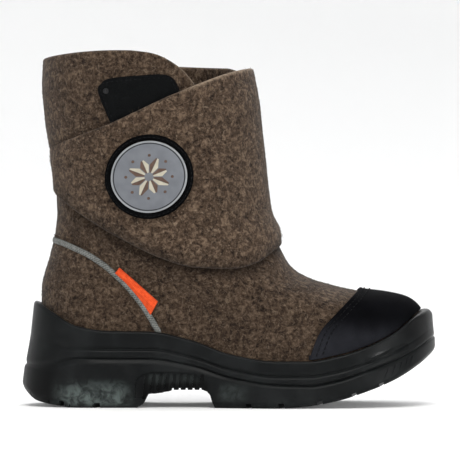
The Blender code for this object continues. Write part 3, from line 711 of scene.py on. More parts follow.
class Nodes:
    """New material, with short ways to add its nodes."""

    def __init__(self, name):
        self.material = bpy.data.materials.new(name)
        self.material.use_nodes = True
        self.tree = self.material.node_tree
        self.shader = self.tree.nodes["Principled BSDF"]
        self.place = self.add("TexCoord").outputs["Object"]

    def add(self, kind, **settings):
        node = self.tree.nodes.new("ShaderNode" + kind)
        for name, value in settings.items():
            setattr(node, name, value)
        return node

    def feed(self, socket, value):
        """Links a socket, or sets its constant."""
        if isinstance(value, bpy.types.NodeSocket):
            self.tree.links.new(value, socket)
        elif socket.type == "RGBA":
            socket.default_value = (*value, 1.0)
        else:
            socket.default_value = value

    def set(self, **inputs):
        """Feeds the shader's sockets, named in lower case with underscores."""
        for name, value in inputs.items():
            title = name.replace("_", " ").title().replace("Ior", "IOR")
            self.feed(self.shader.inputs[title], value)
        return self.material

    def noise(self, scale, detail=2.0, roughness=0.5, distortion=0.0, stretch=None):
        node = self.add("TexNoise")
        place = self.place
        if stretch:
            mapping = self.add("Mapping")
            mapping.inputs["Scale"].default_value = stretch
            mapping.inputs["Rotation"].default_value = (0.4, 0.7, 0.3)
            self.feed(mapping.inputs["Vector"], place)
            place = mapping.outputs["Vector"]
        self.feed(node.inputs["Vector"], place)
        inputs = {"Scale": scale, "Detail": detail, "Roughness": roughness, "Distortion": distortion}
        for name, value in inputs.items():
            node.inputs[name].default_value = value
        return node.outputs["Fac"]

    def cells(self, scale, feature="F1"):
        node = self.add("TexVoronoi", feature=feature)
        self.feed(node.inputs["Vector"], self.place)
        node.inputs["Scale"].default_value = scale
        return node.outputs["Distance"]

    def axes(self):
        """Sockets of the place along X, Y and Z, in metres."""
        parts = self.add("SeparateXYZ")
        self.feed(parts.inputs[0], self.place)
        return parts.outputs

    def band(self, place, first, full, last, end):
        """1 where a place lies between full and last, in millimetres, and 0 beyond first and end."""
        rise = self.span(place, first * MM, full * MM)
        return self.math("MULTIPLY", rise, self.span(place, last * MM, end * MM, 1.0, 0.0))

    def rising_band(self, slope, *limits):
        """Band of the height above a line that rises with this slope from the origin to the toe."""
        axes = self.axes()
        above = self.math("SUBTRACT", axes[2], self.math("MULTIPLY", axes[0], slope))
        return self.band(above, *limits)

    def field(self, along, up):
        """Field seen from the side: a band along X times a band up Z."""
        axes = self.axes()
        return self.math("MULTIPLY", self.band(axes[0], *along), self.band(axes[2], *up))

    def attribute(self, name):
        return self.add("Attribute", attribute_name=name).outputs["Fac"]

    def math(self, operation, a, b=0.0):
        node = self.add("Math", operation=operation)
        self.feed(node.inputs[0], a)
        self.feed(node.inputs[1], b)
        return node.outputs[0]

    def total(self, *pairs):
        """Sum of values, each of them times its share."""
        parts = [self.math("MULTIPLY", value, share) for value, share in pairs]
        result = parts.pop()
        while parts:
            result = self.math("ADD", parts.pop(), result)
        return result

    def span(self, value, low, high, first=0.0, last=1.0):
        """Value between low and high, taken smoothly to first and last."""
        node = self.add("MapRange", interpolation_type="SMOOTHSTEP")
        inputs = {"Value": value, "From Min": low, "From Max": high, "To Min": first, "To Max": last}
        for name, given in inputs.items():
            self.feed(node.inputs[name], given)
        return node.outputs[0]

    def strands(self, scale, width, detail=1.0, distortion=0.8):
        """Thin winding lines, as of curled fibres."""
        field = self.noise(scale, detail, 0.5, distortion)
        return self.span(self.math("ABSOLUTE", self.math("SUBTRACT", field, 0.5)), 0.0, width, 1.0, 0.0)

    def colours(self, value, *stops):
        """Colour for a value, between stops of a place and a colour."""
        node = self.add("ValToRGB")
        self.feed(node.inputs["Fac"], value)
        band = node.color_ramp
        while len(band.elements) < len(stops):
            band.elements.new(0.5)
        for element, (place, colour) in zip(band.elements, stops):
            element.position = place
            element.color = (*colour, 1.0)
        return node.outputs["Color"]

    def mix(self, share, a, b, blend="MIX"):
        node = self.add("Mix", data_type="RGBA", blend_type=blend)
        self.feed(node.inputs[0], share)
        self.feed(node.inputs[6], a)
        self.feed(node.inputs[7], b)
        return node.outputs[2]

    def bump(self, height, distance, strength=1.0, normal=None):
        node = self.add("Bump")
        node.inputs["Distance"].default_value = distance * MM
        node.inputs["Strength"].default_value = strength
        self.feed(node.inputs["Height"], height)
        if normal is not None:
            self.feed(node.inputs["Normal"], normal)
        return node.outputs["Normal"]


def scaled(colour, share):
    return tuple(share * c for c in colour)


def felt_material(name, dark, middle, light, pale):
    """Pressed wool: mottled browns, with winding pale and dark fibres and a soft nap."""
    n = Nodes(name)
    patches = n.noise(60.0, 3.0)
    mottle = n.noise(350.0, 3.0, 0.6, 0.6)
    speckle = n.noise(760.0, 3.0, 0.65, 0.4)
    tone = n.total((mottle, 0.54), (speckle, 0.36), (patches, 0.10))
    colour = n.colours(tone, (0.39, dark), (0.50, middle), (0.62, light))
    pale_strands = n.math("MULTIPLY", n.strands(240.0, 0.022), n.span(speckle, 0.40, 0.60))
    fine_strands = n.strands(520.0, 0.028)
    dark_strands = n.strands(350.0, 0.030, distortion=1.4)
    # Pale cut edges: frayed fibres, and a painted highlight along the edge.
    frayed_and_highlight = n.math("MULTIPLY", n.attribute("cut"), n.span(speckle, 0.30, 0.60, 0.35, 1.0))
    colour = n.mix(n.math("MULTIPLY", dark_strands, 0.50), colour, dark)
    colour = n.mix(n.math("MULTIPLY", fine_strands, 0.30), colour, light)
    colour = n.mix(n.math("MULTIPLY", pale_strands, 0.50), colour, pale)
    colour = n.mix(frayed_and_highlight, colour, pale)
    # Painted shade: the shade attribute darkens the felt towards its dark brown.
    colour = n.mix(n.attribute("shade"), colour, scaled(dark, 0.6))
    height = n.total((mottle, 0.9), (pale_strands, 0.25), (speckle, 0.6))
    return n.set(base_color=colour, roughness=0.95, specular_IOR_level=0.10, normal=n.bump(height, 0.65, 0.9),
                 sheen_weight=0.08, sheen_roughness=0.5)


def fibre_material(name, dark, light):
    n = Nodes(name)
    colour = n.colours(n.attribute("tone"), (0.0, dark), (0.55, light), (1.0, scaled(light, 1.5)))
    return n.set(base_color=colour, roughness=0.9, specular_IOR_level=0.2)


def rubber_material(name, base, dusty, pale, grain, roughness):
    """Moulded black rubber: satin, finely grained and smudged, with painted highlights and painted shade."""
    n = Nodes(name)
    smudges = n.noise(55.0, 4.0, 0.6, 0.4)
    fine = n.noise(grain, 3.0, 0.6)
    scuffs = n.noise(130.0, 3.0, 0.7, 0.2, stretch=(0.35, 1.0, 2.6))
    dust = n.math("MULTIPLY", n.span(smudges, 0.40, 0.72), 0.5)
    colour = n.mix(dust, base, dusty)
    colour = n.mix(n.span(scuffs, 0.64, 0.80, 0.0, 0.35), colour, dusty)

    # Painted shade: darker towards black at the heel block's back, in the arch's hollow under the ribs and at
    # the toe's tip.
    heel_back = n.field((-125.0, -120.0, -100.0, -84.0), (-9.0, -5.0, 17.0, 25.0))
    hollow = n.field((-50.0, -46.0, -13.0, -10.0), (4.0, 6.0, 11.5, 15.5))
    tip = n.field((88.0, 104.0, 130.0, 140.0), (30.0, 38.0, 60.0, 70.0))
    painted_shade = n.math("MAXIMUM", n.math("MAXIMUM", heel_back, hollow), tip)
    colour = n.mix(n.math("MULTIPLY", painted_shade, 0.9), colour, scaled(base, 0.25))

    # Painted highlight: paler, unevenly, low on the heel's flared wall, on the forefoot's lower wall and on
    # the arch's ribs, where light falls on them.
    heel = n.field((-98.0, -82.0, -62.0, -49.0), (0.0, 3.0, 6.0, 17.0))
    fore = n.field((-8.0, -3.0, 2.0, 12.0), (2.0, 6.0, 9.0, 15.0))
    ribs = n.field((-47.0, -43.0, -18.0, -13.0), (11.0, 15.0, 17.0, 19.0))
    painted_highlight = n.total((heel, 1.0), (fore, 0.28), (ribs, 0.13))
    uneven = n.span(n.noise(190.0, 4.0, 0.65, 0.5), 0.36, 0.66, 0.12, 1.0)
    colour = n.mix(n.math("MULTIPLY", painted_highlight, uneven), colour, pale)

    bead = n.band(n.axes()[0], 68.0, 76.0, 90.0, 98.0)
    polished = n.math("MULTIPLY", bead, n.rising_band(0.34, -2.0, -0.6, 1.6, 3.6))
    rough = n.span(smudges, 0.25, 0.8, roughness - 0.08, roughness + 0.10)
    return n.set(base_color=colour, roughness=n.math("SUBTRACT", rough, n.math("MULTIPLY", polished, 0.24)),
                 specular_IOR_level=0.085, normal=n.bump(fine, 0.05, 0.55))


def cap_material(name, dark, light, painted_light):
    """Rubberised cloth: satin black with a fine pebbled grain, and painted light that makes it paler low
    down.
    """
    n = Nodes(name)
    pebbles = n.cells(1300.0)
    smudges = n.noise(60.0, 3.0)
    height = n.math("ADD", pebbles, n.math("MULTIPLY", n.noise(2600.0, 2.0), 0.4))
    colour = n.mix(n.span(smudges, 0.35, 0.75, 0.0, 0.6), dark, light)
    # Painted light: paler low down, where light falls on the cap from below and the side.
    low_down = n.band(n.axes()[2], 10.0, 20.0, 34.0, 50.0)
    painted_light_low = n.math("MULTIPLY", low_down, n.span(smudges, 0.25, 0.65, 0.5 * painted_light, painted_light))
    colour = n.mix(painted_light_low, colour, (0.0165, 0.0170, 0.0205))
    return n.set(base_color=colour, roughness=n.span(smudges, 0.3, 0.8, 0.66, 0.80),
                 specular_IOR_level=0.01, normal=n.bump(height, 0.09, 0.6))


def loop_material():
    """Black looped pile."""
    n = Nodes("black_loops")
    loops = n.strands(900.0, 0.05)
    pile = n.noise(1500.0, 3.0, 0.65)
    colour = n.mix(n.math("MULTIPLY", loops, 0.5), (0.0016, 0.0020, 0.0022), (0.0050, 0.0056, 0.0060))
    height = n.math("ADD", n.math("MULTIPLY", loops, 0.5), pile)
    return n.set(base_color=colour, roughness=0.88, specular_IOR_level=0.10, normal=n.bump(height, 0.35, 0.8))


def film_material(name, colour, other):
    """Reflective film: satin grey with a fine beaded surface."""
    n = Nodes(name)
    clouds = n.noise(120.0, 3.0)
    beads = n.cells(2600.0)
    tint = n.mix(n.span(clouds, 0.3, 0.7), colour, other)
    return n.set(base_color=tint, metallic=0.15, roughness=n.span(clouds, 0.3, 0.7, 0.40, 0.50),
                 specular_IOR_level=0.4, normal=n.bump(beads, 0.05, 0.5))


def weave_material(name, dark, light, pitch, slant):
    """Woven band, whose points carry their place along and across it, in millimetres, and their painted
    shade.
    """
    n = Nodes(name)
    slanted = n.math("ADD", n.attribute("along"), n.math("MULTIPLY", n.attribute("across"), slant))
    per_thread = 2 * math.pi / pitch
    lines = n.math("SINE", n.math("MULTIPLY", slanted, per_thread))
    rows = n.math("SINE", n.math("MULTIPLY", n.attribute("across"), per_thread))
    threads = n.math("MULTIPLY", lines, n.math("ADD", n.math("MULTIPLY", rows, 0.5), 0.5))
    slub = n.noise(500.0, 3.0, 0.6)
    share = n.math("ADD", n.math("MULTIPLY", threads, 0.28), slub)
    colour = n.mix(n.span(share, 0.25, 0.75), dark, light)
    # Painted shade: the shade attribute darkens the band towards its dark colour.
    colour = n.mix(n.attribute("shade"), colour, scaled(dark, 0.3))
    return n.set(base_color=colour, roughness=0.72, specular_IOR_level=0.15,
                 normal=n.bump(threads, 0.12, 0.8), sheen_weight=0.06, sheen_roughness=0.4)


def thread_material(name, dark, light):
    n = Nodes(name)
    twist = n.noise(1400.0, 2.0, 0.6, stretch=(1.0, 2.5, 0.6))
    return n.set(base_color=n.mix(n.span(twist, 0.35, 0.65), dark, light), roughness=0.80,
                 specular_IOR_level=0.08, normal=n.bump(twist, 0.08, 0.6))


def paint_material(name, colour, other):
    """Matt print with a slight unevenness."""
    n = Nodes(name)
    return n.set(base_color=n.mix(n.span(n.noise(400.0, 3.0), 0.3, 0.7), colour, other), roughness=0.55,
                 specular_IOR_level=0.3, normal=n.bump(n.noise(1500.0, 2.0), 0.03, 0.5))


def floor_material():
    n = Nodes("studio_floor")
    clouds = n.noise(3.0, 2.0)
    return n.set(base_color=n.mix(clouds, (0.91, 0.91, 0.91), (0.93, 0.93, 0.93)), roughness=0.8,
                 specular_IOR_level=0.2, emission_color=(1.0, 1.0, 1.0), emission_strength=0.07)


# Felt pieces

def row_levels(count, last):
    """Levels that lie evenly up the outer side, to this last level."""
    line = surface(90.0, LEVELS)
    run = np.concatenate([[0], np.cumsum(np.linalg.norm(np.diff(line, axis=0), axis=1))])
    end = np.interp(last, LEVELS, run)
    return np.interp(graded(0, end, count, EDGE_STEPS, 1.0), run, LEVELS)


def throat_turn(side, level):
    """Turn of one edge of the throat at each level."""
    level = np.maximum(level, THROAT_LEVEL)
    turn = np.full(level.shape, 140.0 if side == "outer" else 198.0)
    for _ in range(20):
        turn = between(turn, THROAT(side, surface(turn, level)[..., 2]), 0.6)
    return turn


def flap_turn(turn):
    """The same turn, from -60 to 300, as the flap's table counts it."""
    return (turn + 60) % 360 - 60


def under_flap(turn, z, margin=0.0):
    """Where the flap covers the upper."""
    turn = flap_turn(turn)
    inside = (turn > FLAP.keys[0]) & (turn < FLAP.keys[-1])
    return inside & (z > FLAP("low", turn) + margin) & (z < FLAP("top", turn) - margin)


def flap_shade(turn, z):
    """How deep the upper is pressed in along the flap's lower edge."""
    deepest, width = 2.7, 4.0
    turn = flap_turn(turn)
    below = FLAP("low", turn) - z
    to_front = between(0.05, 1.0, ramp(turn, 165, 140))
    reach = ramp(turn, 15, 45) * to_front * ramp(turn, 212, 182)
    return reach * deepest * bump(below - 1.0, width)


def edge_shade(turn, z):
    """Painted shade on the felt: in the crease along the flap's lower edge, near the sole and on the counter.
    """
    turn = flap_turn(turn)
    below = FLAP("low", turn) - z
    reach = ramp(turn, 10, 35) * ramp(turn, 206, 186)
    close = 0.62 * bump(below - 0.3, between(4.2, 2.6, ramp(turn, 60, 120)))
    wide = 0.34 * bump(below - 3.0, 8.0) * ramp(turn, 115, 75)
    counter = 0.17 * ramp(turn, -55, -25) * ramp(turn, 62, 32) * ramp(z, 92, 67)
    near_sole = 0.16 * ramp(z, 75, 35)
    return np.maximum(reach * np.maximum(close, wide), np.maximum(counter, near_sole))


def tip_band(turn, z):
    """Share of the dent under the flap's tip, which ends softly at the flap's edges."""
    turn = flap_turn(turn)
    return ramp(z - FLAP("low", turn), -2, 2) * ramp(FLAP("top", turn) - z, -2, 2)


def upper_form(turn, points):
    """How far the creases, the flap's edge and a slight unevenness move the upper's face outwards."""
    return crease_depth(turn, points) - flap_shade(turn, points[..., 2]) + 0.25 * lumps(points, 16.0, 3.0)


def upper_grid():
    """Levels of the upper's rows, turns of its points, the throat's edges and the throat's first column."""
    row_count, column_count, throat_count, round_leg = 104, 226, 42, 270
    rows = np.sort(np.append(row_levels(row_count, COLLAR), THROAT_LEVEL))
    outer, inner = throat_turn("outer", rows)[:, None], throat_turn("inner", rows)[:, None]
    quarter = between(inner, 360 + outer, graded(0.0, 1.0, column_count, EDGE_STEPS, 1 / round_leg))
    throat = between(outer, inner, np.linspace(0, 1, throat_count)[1:-1]) + 360
    return rows, np.concatenate([quarter, throat], axis=1), inner, outer, quarter.shape[1]


def upper_face(turn, level, inner):
    """Points of the upper's outer face with its creases, and the way out from them."""
    face, normals = surface(turn, level), outward(turn, level)
    hidden = under_flap(turn, face[..., 2])
    moved = upper_form(turn, face) - UPPER_DENT * tip_dent(turn) * tip_band(turn, face[..., 2])
    collar_calm = ramp(level, COLLAR, COLLAR - 0.5)
    moved = np.where(hidden, np.minimum(moved, 0.0), moved) * collar_calm
    face = face + normals * moved[..., None]
    far_side = ramp(turn - inner, 0, 15) * ramp(turn, 330, 290)
    face[..., 2] += COLLAR_LIFT * far_side * ramp(level, COLLAR - 1.5, COLLAR)
    return face, normals


def build_upper(felt, fibres):
    """Hollow felt boot, with its creases, its round collar edge and its loose fibres."""
    rows, turn, inner, outer, columns = upper_grid()
    level = np.broadcast_to(rows[:, None], turn.shape)
    face, normals = upper_face(turn, level, inner)
    z = face[..., 2]

    above = level >= THROAT_LEVEL
    in_throat = np.arange(turn.shape[1]) >= columns
    rim_run = np.minimum(COLLAR - level, level + 0.05) * LEVEL_RUN
    to_throat = np.maximum(np.minimum(turn - inner, 360 + outer - turn) * TURN_RUN, 0.0)
    edge = np.where(above & ~in_throat, np.minimum(rim_run, to_throat), rim_run)
    throat_run = 12.0       # millimetres for one level, just below the throat
    to_level = (THROAT_LEVEL - level) * throat_run
    edge = np.where(in_throat & (to_level >= 0), np.minimum(edge, to_level), edge)
    edge = np.where(level <= rows[0], 0.0, np.maximum(edge, 0.0))
    keep = np.ones((len(rows) - 1, turn.shape[1]), bool)
    keep[rows[:-1] >= THROAT_LEVEL] = np.arange(turn.shape[1]) < columns - 1
    verts, faces, used = shell(face, normals, FELT, edge, closed=True, keep=keep)
    piece = add_piece("upper_felt", verts, faces, felt, "felt", "upper")
    # Pale cut edges at the throat and the collar: frayed fibres, with a painted highlight.
    at_throat = np.where(above & ~in_throat, bump(to_throat, 1.1) * ramp(z, 140, 160), 0.0)
    set_on_shell(piece, "cut", np.maximum(0.75 * at_throat, 0.15 * bump(rim_run, 1.2)), used)
    # Painted shade in the crease under the flap's edge, near the sole and on the counter.
    set_on_shell(piece, "shade", edge_shade(turn, z), used)

    rim = SOLE_LINES("rim", face[..., 0])
    shown = (z > rim + 2) & ~under_flap(turn, z, 3.0) & ~(in_throat & above) & (level < COLLAR - 0.2)
    shown &= ~(cap_share(turn, face) > 0)
    add_fibres("upper_fibres", fibres, face, normals, shown, UPPER_FIBRES, UPPER_SEED)


def tip_dent(turn):
    """How deep the flap's tip presses into the felt behind the leg."""
    turn = flap_turn(turn)
    return TIP_DENT * ramp(turn, 20, -2) * ramp(turn, -22, -14)


def flap_out(turn):
    """How far the flap's inner face lies outside the upper's face."""
    return GAP + 0.1 + FLAP("lift", turn) * (PATCH + GAP) - tip_dent(turn)


def flap_wave(turn, z):
    """Soft form of the flap: a roll along its lower edge, and slight waves, though not under the badge."""
    calm = 27.0       # radius round the badge's middle within which the waves fade
    above = z - FLAP("low", turn)
    roll = ramp(turn, 40, 80) * ramp(turn, 214, 194)
    front = ramp(turn, 140, 170)
    bulge = bump(above - between(9.0, 5.0, front), 8.0)
    tuck = between(0.9, 0.2, front) * bump(above, 3.5)
    badge = np.hypot((surface_x(turn, z) - BADGE_X) / calm, (z - BADGE_Z) / calm)
    wave = 0.5 * np.sin(turn / 19.0 + z / 31.0) * ramp(turn, 20, 80) * ramp(turn, 205, 175)
    return 1.4 * roll * (bulge - tuck) + wave * ramp(badge, 0.6, 1.6) * ramp(FLAP("top", turn) - z, 0, 25)


def flap_taper(turn):
    """Share of its thickness that the flap has near its seam on the inner side."""
    return between(0.35, 1.0, ramp(FLAP.keys[-1] - turn, 0, 12))


def surface_x(turn, z):
    return surface(turn, level_at(turn, z))[..., 0]


def build_flap(felt, fibres):
    """Felt flap from its seam on the inner side, round the front and the outer side, to its tip behind."""
    columns, rows, turn_step, tall = 176, 62, 1.1, 75
    first, last = FLAP.keys[0], FLAP.keys[-1]
    across = graded(first, last, columns, EDGE_STEPS, turn_step)
    up = graded(0.0, 1.0, rows, EDGE_STEPS, 1 / tall)
    turn, share = np.meshgrid(across, up)
    low, top = FLAP("low", turn), FLAP("top", turn)
    z = between(low, top, share)
    level = level_at(turn, z)
    normals = outward(turn, level)
    thick = FELT * between(FLAP("low_felt", turn), FLAP("felt", turn), ramp(z - low, 0, 9))
    thick = thick * flap_taper(turn)
    thin_top = between(0.45, 1.0, ramp(turn, 30, 70))
    thick = thick * between(thin_top, 1.0, ramp(top - z, 0, 9))
    uneven = 0.12 * lumps(surface(turn, level), 14.0, 8.0)
    face = skin(turn, level, flap_out(turn) + thick + flap_wave(turn, z) + uneven)
    edge = np.minimum(np.minimum(z - low, top - z), np.minimum(turn - first, last - turn) * TURN_RUN)
    verts, faces, used = shell(face, normals, thick, np.maximum(edge, 0.0))
    piece = add_piece("flap_felt", verts, faces, felt, "felt", "closure_flap")
    # Pale top edge: frayed fibres, with a painted highlight where the edge catches the light.
    set_on_shell(piece, "cut", 0.8 * bump(top - z, 1.1) * ramp(turn, 104, 116), used)
    # Painted shade along the flap's lower edge, softening it into the crease below.
    forward = ramp(turn, 60, 120)
    shade = between(0.55, 0.40, forward) * bump(z - low, between(6.5, 3.5, forward))
    set_on_shell(piece, "shade", shade * ramp(turn, 5, 25), used)

    clear_x, clear_z = 24.0, 23.5
    badge = np.hypot((face[..., 0] - BADGE_X) / clear_x, (z - BADGE_Z) / clear_z)
    shown = (edge > 2.6) & (badge > 1.0)
    add_fibres("flap_fibres", fibres, face, normals, shown, FLAP_FIBRES, FLAP_SEED)


def build_insole(felt):
    """Footbed on the sole's floor, with a soft edge."""
    heel, toe = 9.0, 171.0
    dip, dip_run = 1.2, 12.0
    columns, rows, turn_step, broad = 70, 22, 0.5, 60
    turns = graded(heel, toe, columns, EDGE_STEPS, turn_step)
    across = graded(0.0, 1.0, rows, EDGE_STEPS, 1 / broad)
    turn, share = np.meshgrid(turns, across)
    inset = np.full(turn.shape, -(FELT + 2 * GAP))
    outer, inner = skin(turn, 0.0 * turn, inset), skin(-turn, 0.0 * turn, inset)
    points = between(inner, outer, share[..., None])
    width = np.linalg.norm(outer - inner, axis=-1)
    edge = np.minimum(np.minimum(share, 1 - share) * width, np.minimum(turn - heel, toe - turn) * TURN_RUN)
    dish = dip * ramp(edge, 0, dip_run)
    points[..., 2] = SOLE_LINES("floor", points[..., 0]) + GAP + INSOLE - dish
    normals = np.zeros(points.shape)
    normals[..., 2] = 1.0
    verts, faces, _ = shell(points, normals, INSOLE - dish, np.maximum(edge, 0.0))
    add_piece("footbed", verts, faces[:, ::-1], felt, "footbed", "insole")


# Toe cap

def cap_share(turn, points):
    """Distance forward of the toe cap's back edge."""
    outer = np.sin(np.radians(turn)) >= 0
    z = points[..., 2]
    return points[..., 0] - np.where(outer, CAP_EDGE("outer", z), CAP_EDGE("inner", z))


def cap_level(turn, forward):
    """Level of the points that lie this far forward of the toe cap's back edge."""
    return bisect(turn.shape, 9.0, lambda level: cap_share(turn, surface(turn, level)) > forward, 24)


def build_toe_cap(finish, thread):
    """Cap over the toe, from the sole's rim up to its slanted back edge, with two rows of stitches."""
    columns, rows, turn_step, tall = 124, 40, 0.35, 40
    level_run, turn_run = 9.0, 1.2
    outer_x, inner_x = CAP_EDGE.values["outer"][0], CAP_EDGE.values["inner"][0]
    first = float(side_spot(outer_x, SOLE_LINES("rim", outer_x))[0])
    last = float(360 + side_spot(inner_x, SOLE_LINES("rim", inner_x), outer=False)[0])
    across = graded(first, last, columns, EDGE_STEPS, turn_step)
    spot, _ = sole_outline(across)
    low = level_at(across, spot[:, 2] + 2 * GAP)
    high = np.maximum(cap_level(across, 0.0), low + 0.2)
    up = graded(0.0, 1.0, rows, EDGE_STEPS, 1 / tall)
    turn = np.broadcast_to(across, (len(up), len(across)))
    level = between(low, high, up[:, None])
    to_edge = cap_share(turn, surface(turn, level)) * CAP_LEAN
    lip = 0.40 * bump(to_edge - 0.6, 0.8)
    groove = -0.13 * sum(bump(to_edge - place, 0.5) for place in CAP_GROOVES)
    face = skin(turn, level, GAP + CAP + lip + groove)
    edge = np.minimum(np.maximum((1 - up)[:, None] * (high - low) * level_run, 0.0), up[:, None] * tall)
    edge = np.minimum(edge, np.minimum(turn - across[0], across[-1] - turn) * turn_run)
    verts, faces, _ = shell(face, outward(turn, level), CAP + lip + groove, np.maximum(edge, 0.0))
    add_piece("toe_cap_cover", verts, faces, finish, "cap_rubber", "toe_cap")
    rows = [cap_stitches(first, last, inset) for inset in CAP_SEAMS]
    add_stitches("toe_cap_stitches", rows, thread, "cap_rubber")


def cap_stitches(first, last, inset):
    """Row of stitches this far forward of the toe cap's back edge."""
    turn = np.linspace(first + inset * 0.7, last - inset * 0.7, 300)
    level = cap_level(turn, inset / CAP_LEAN)
    spot, _ = sole_outline(turn)
    path = skin(turn, level, np.full(turn.shape, GAP + CAP - 0.05))
    clear = path[:, 2] > spot[:, 2] + 1.5
    return stitch_row(path[clear], outward(turn, level)[clear], *CAP_STITCH)


# Sole

def sole_outline(turn):
    """Points of the upper's face at the rim, and the way out from them in plan."""
    level = np.full(np.shape(turn), 2.0)
    for _ in range(8):
        level = level_at(turn, SOLE_LINES("rim", surface(turn, level)[..., 0]))
    out = outward(turn, level) * (1.0, 1.0, 0.0)
    return surface(turn, level), unit(out)


def wall_width(spot, z):
    """How far the sole's flared wall stands out from the upper's face at the rim, at this height."""
    x = spot[..., 0]
    rim, tread = SOLE_LINES("rim", x), SOLE_LINES("tread", x)
    flare = SOLE_LINES("flare", x) * np.maximum((rim - z) / (rim - tread), 0.0) ** FLARE_CURVE
    return GAP + SOLE_LINES("rim_wall", x) + flare


def sole_side(turn, lower, upper, share, with_bead, without):
    """Points of the sole's outer side on one of its steps."""
    spot, out = sole_outline(turn)
    stands_out = between(without, with_bead, SOLE_LINES("bead", spot[..., 0]))
    point = spot
    for _ in range(4):
        z = between(SOLE_LINES(lower, point[..., 0]), SOLE_LINES(upper, point[..., 0]), share)
        point = spot + out * (wall_width(spot, z) + stands_out)[..., None]
    return np.stack([point[..., 0], point[..., 1], z], axis=-1)


def sole_inside(turn, row):
    """Points of the cup's inner wall, on rows from the rim down to the floor."""
    rim = level_at(turn, sole_outline(turn)[0][..., 2])
    level = (rim, (rim + 1) / 2, np.ones(turn.shape), np.zeros(turn.shape))[row]
    point = skin(turn, level, np.full(turn.shape, CUP_GAP))
    if row == 3:
        point[..., 2] -= GAP
    return point


def rounded(rows, radii, points=5):
    """Rows of points with each inner row turned into an arc of this radius."""
    out = [rows[0]]
    shares = np.linspace(0, 1, points)
    for before, row, after, radius in zip(rows, rows[1:], rows[2:], radii[1:]):
        ends = []
        for other in (before, after):
            length = np.linalg.norm(other - row, axis=-1, keepdims=True)
            ends.append(row + (other - row) / np.maximum(length, 1e-6) * np.minimum(radius, 0.45 * length))
        for t in shares:
            out.append((1 - t) ** 2 * ends[0] + 2 * t * (1 - t) * row + t * t * ends[1])
    return [*out, rows[-1]]


def ladder(loop, upwards):
    """Strips across a closed loop of point numbers, between its outer and its inner side."""
    half = len(loop) // 2
    faces = [[loop[0], loop[1], loop[-1]], [loop[half - 1], loop[half], loop[half + 1]]]
    faces += [[loop[i], loop[i + 1], loop[-i - 1], loop[-i]] for i in range(1, half - 1)]
    return faces if upwards else [face[::-1] for face in faces]


def sole_steps(turn):
    """Steps of the sole's side, with the rim's corner grown rounder towards the toe's tip."""
    toe = ramp(sole_outline(turn)[0][:, 0], *TOE_CORNER_X)
    steps = [list(step) for step in SOLE_STEPS]
    below, top = steps[-2:]
    below[2] = between(below[2], TOE_CORNER_SHARE, toe)
    top[3] = top[4] = between(top[4], TOE_CORNER_IN, toe)
    for step in (below, top):
        step[5] = between(step[5], TOE_CORNER_RADIUS, toe[:, None])
    return steps


def build_sole(rubber):
    """Moulded sole: a cup round the foot, with its heel block, arch, ribs, lugs and a bead along its side."""
    columns = 288
    turn = np.linspace(0, 360, columns, endpoint=False)
    steps = sole_steps(turn)
    rows = [sole_side(turn, *step[:5]) for step in steps] + [sole_inside(turn, row) for row in range(4)]
    radii = [*(step[5] for step in steps), *CUP_RADII]
    rows = rounded(rows, radii)
    verts = np.concatenate(rows)
    index = np.arange(len(verts)).reshape(len(rows), columns)
    faces = quads(index, closed=True).reshape(-1, 4).tolist()
    faces += ladder(index[0].tolist(), upwards=False) + ladder(index[-1].tolist(), upwards=True)
    sole = add_piece("sole_rubber", verts, faces, rubber, "sole_rubber", "sole")
    recalculate(sole.data)
    for parts in (grooves(), channels(), arch(), pockets(), flutes(), teeth(), nicks(), toe_flutes()):
        cut_away(sole, parts)
    sole.data.shade_smooth()
    sharpen(sole, 32)


def grooves():
    """Grooves across the tread, swept forwards in the middle."""
    reach, edge, deep = 60.0, 42.0, 12.0
    bars = []
    for x, width, depth in zip(*LUG_GROOVES.values.values()):
        sections = []
        for y in (-reach, 0.0, reach):
            middle = x + LUG_SWEEP * (1 - abs(y) / edge)
            back, front = middle - width / 2, middle + width / 2
            tops = SOLE_LINES("tread", np.array([back, front])) + depth
            sections.append(((back, y, tops[0]), (front, y, tops[1]),
                             (front, y, tops[1] - deep), (back, y, tops[0] - deep)))
        bars.append(bar(sections))
    return bars


def channels():
    """Channels along the middle of the heel and of the forefoot."""
    deep, half = 12.0, CHANNEL_WIDTH / 2
    bars = []
    for first, last in CHANNELS:
        x = np.linspace(first, last, 13)
        top = SOLE_LINES("tread", x) + CHANNEL_DEPTH
        middle = SIDE_SHIFT + TOE_SWING * ramp(x, 0, 100)
        corners = [(-half, 0.0), (half, 0.0), (half, -deep), (-half, -deep)]
        lines = [np.stack([x, middle + side, top + drop], axis=-1) for side, drop in corners]
        bars.append(bar(np.stack(lines, axis=1)))
    return bars


def arch():
    """Bar across the boot that clears the arch."""
    profile = list(zip(*ARCH.values.values()))
    return [bar([[(x, y, z) for x, z in profile] for y in (-ACROSS, ACROSS)])]


def wall_point(x, z, outer, stands_out):
    """Y of the sole's flared wall at x and z, this far outside it."""
    turn, _ = side_spot(x, SOLE_LINES("rim", x), outer)
    spot, out = sole_outline(turn)
    return spot[..., 1] + out[..., 1] * (wall_width(spot, z) + stands_out)


def pockets():
    """Shallow pocket in either side, in which the ribs of the arch stand."""
    low, deep, past = 5.0, 1.4, 8.0
    bars = []
    for outer in (True, False):
        sections = []
        for x, top in zip(*POCKET.values.values()):
            corners = ((low, -deep), (top, -deep), (top, past), (low, past))
            sections.append([(x, wall_point(x, z, outer, out), z) for z, out in corners])
        bars.append(bar(sections))
    return bars


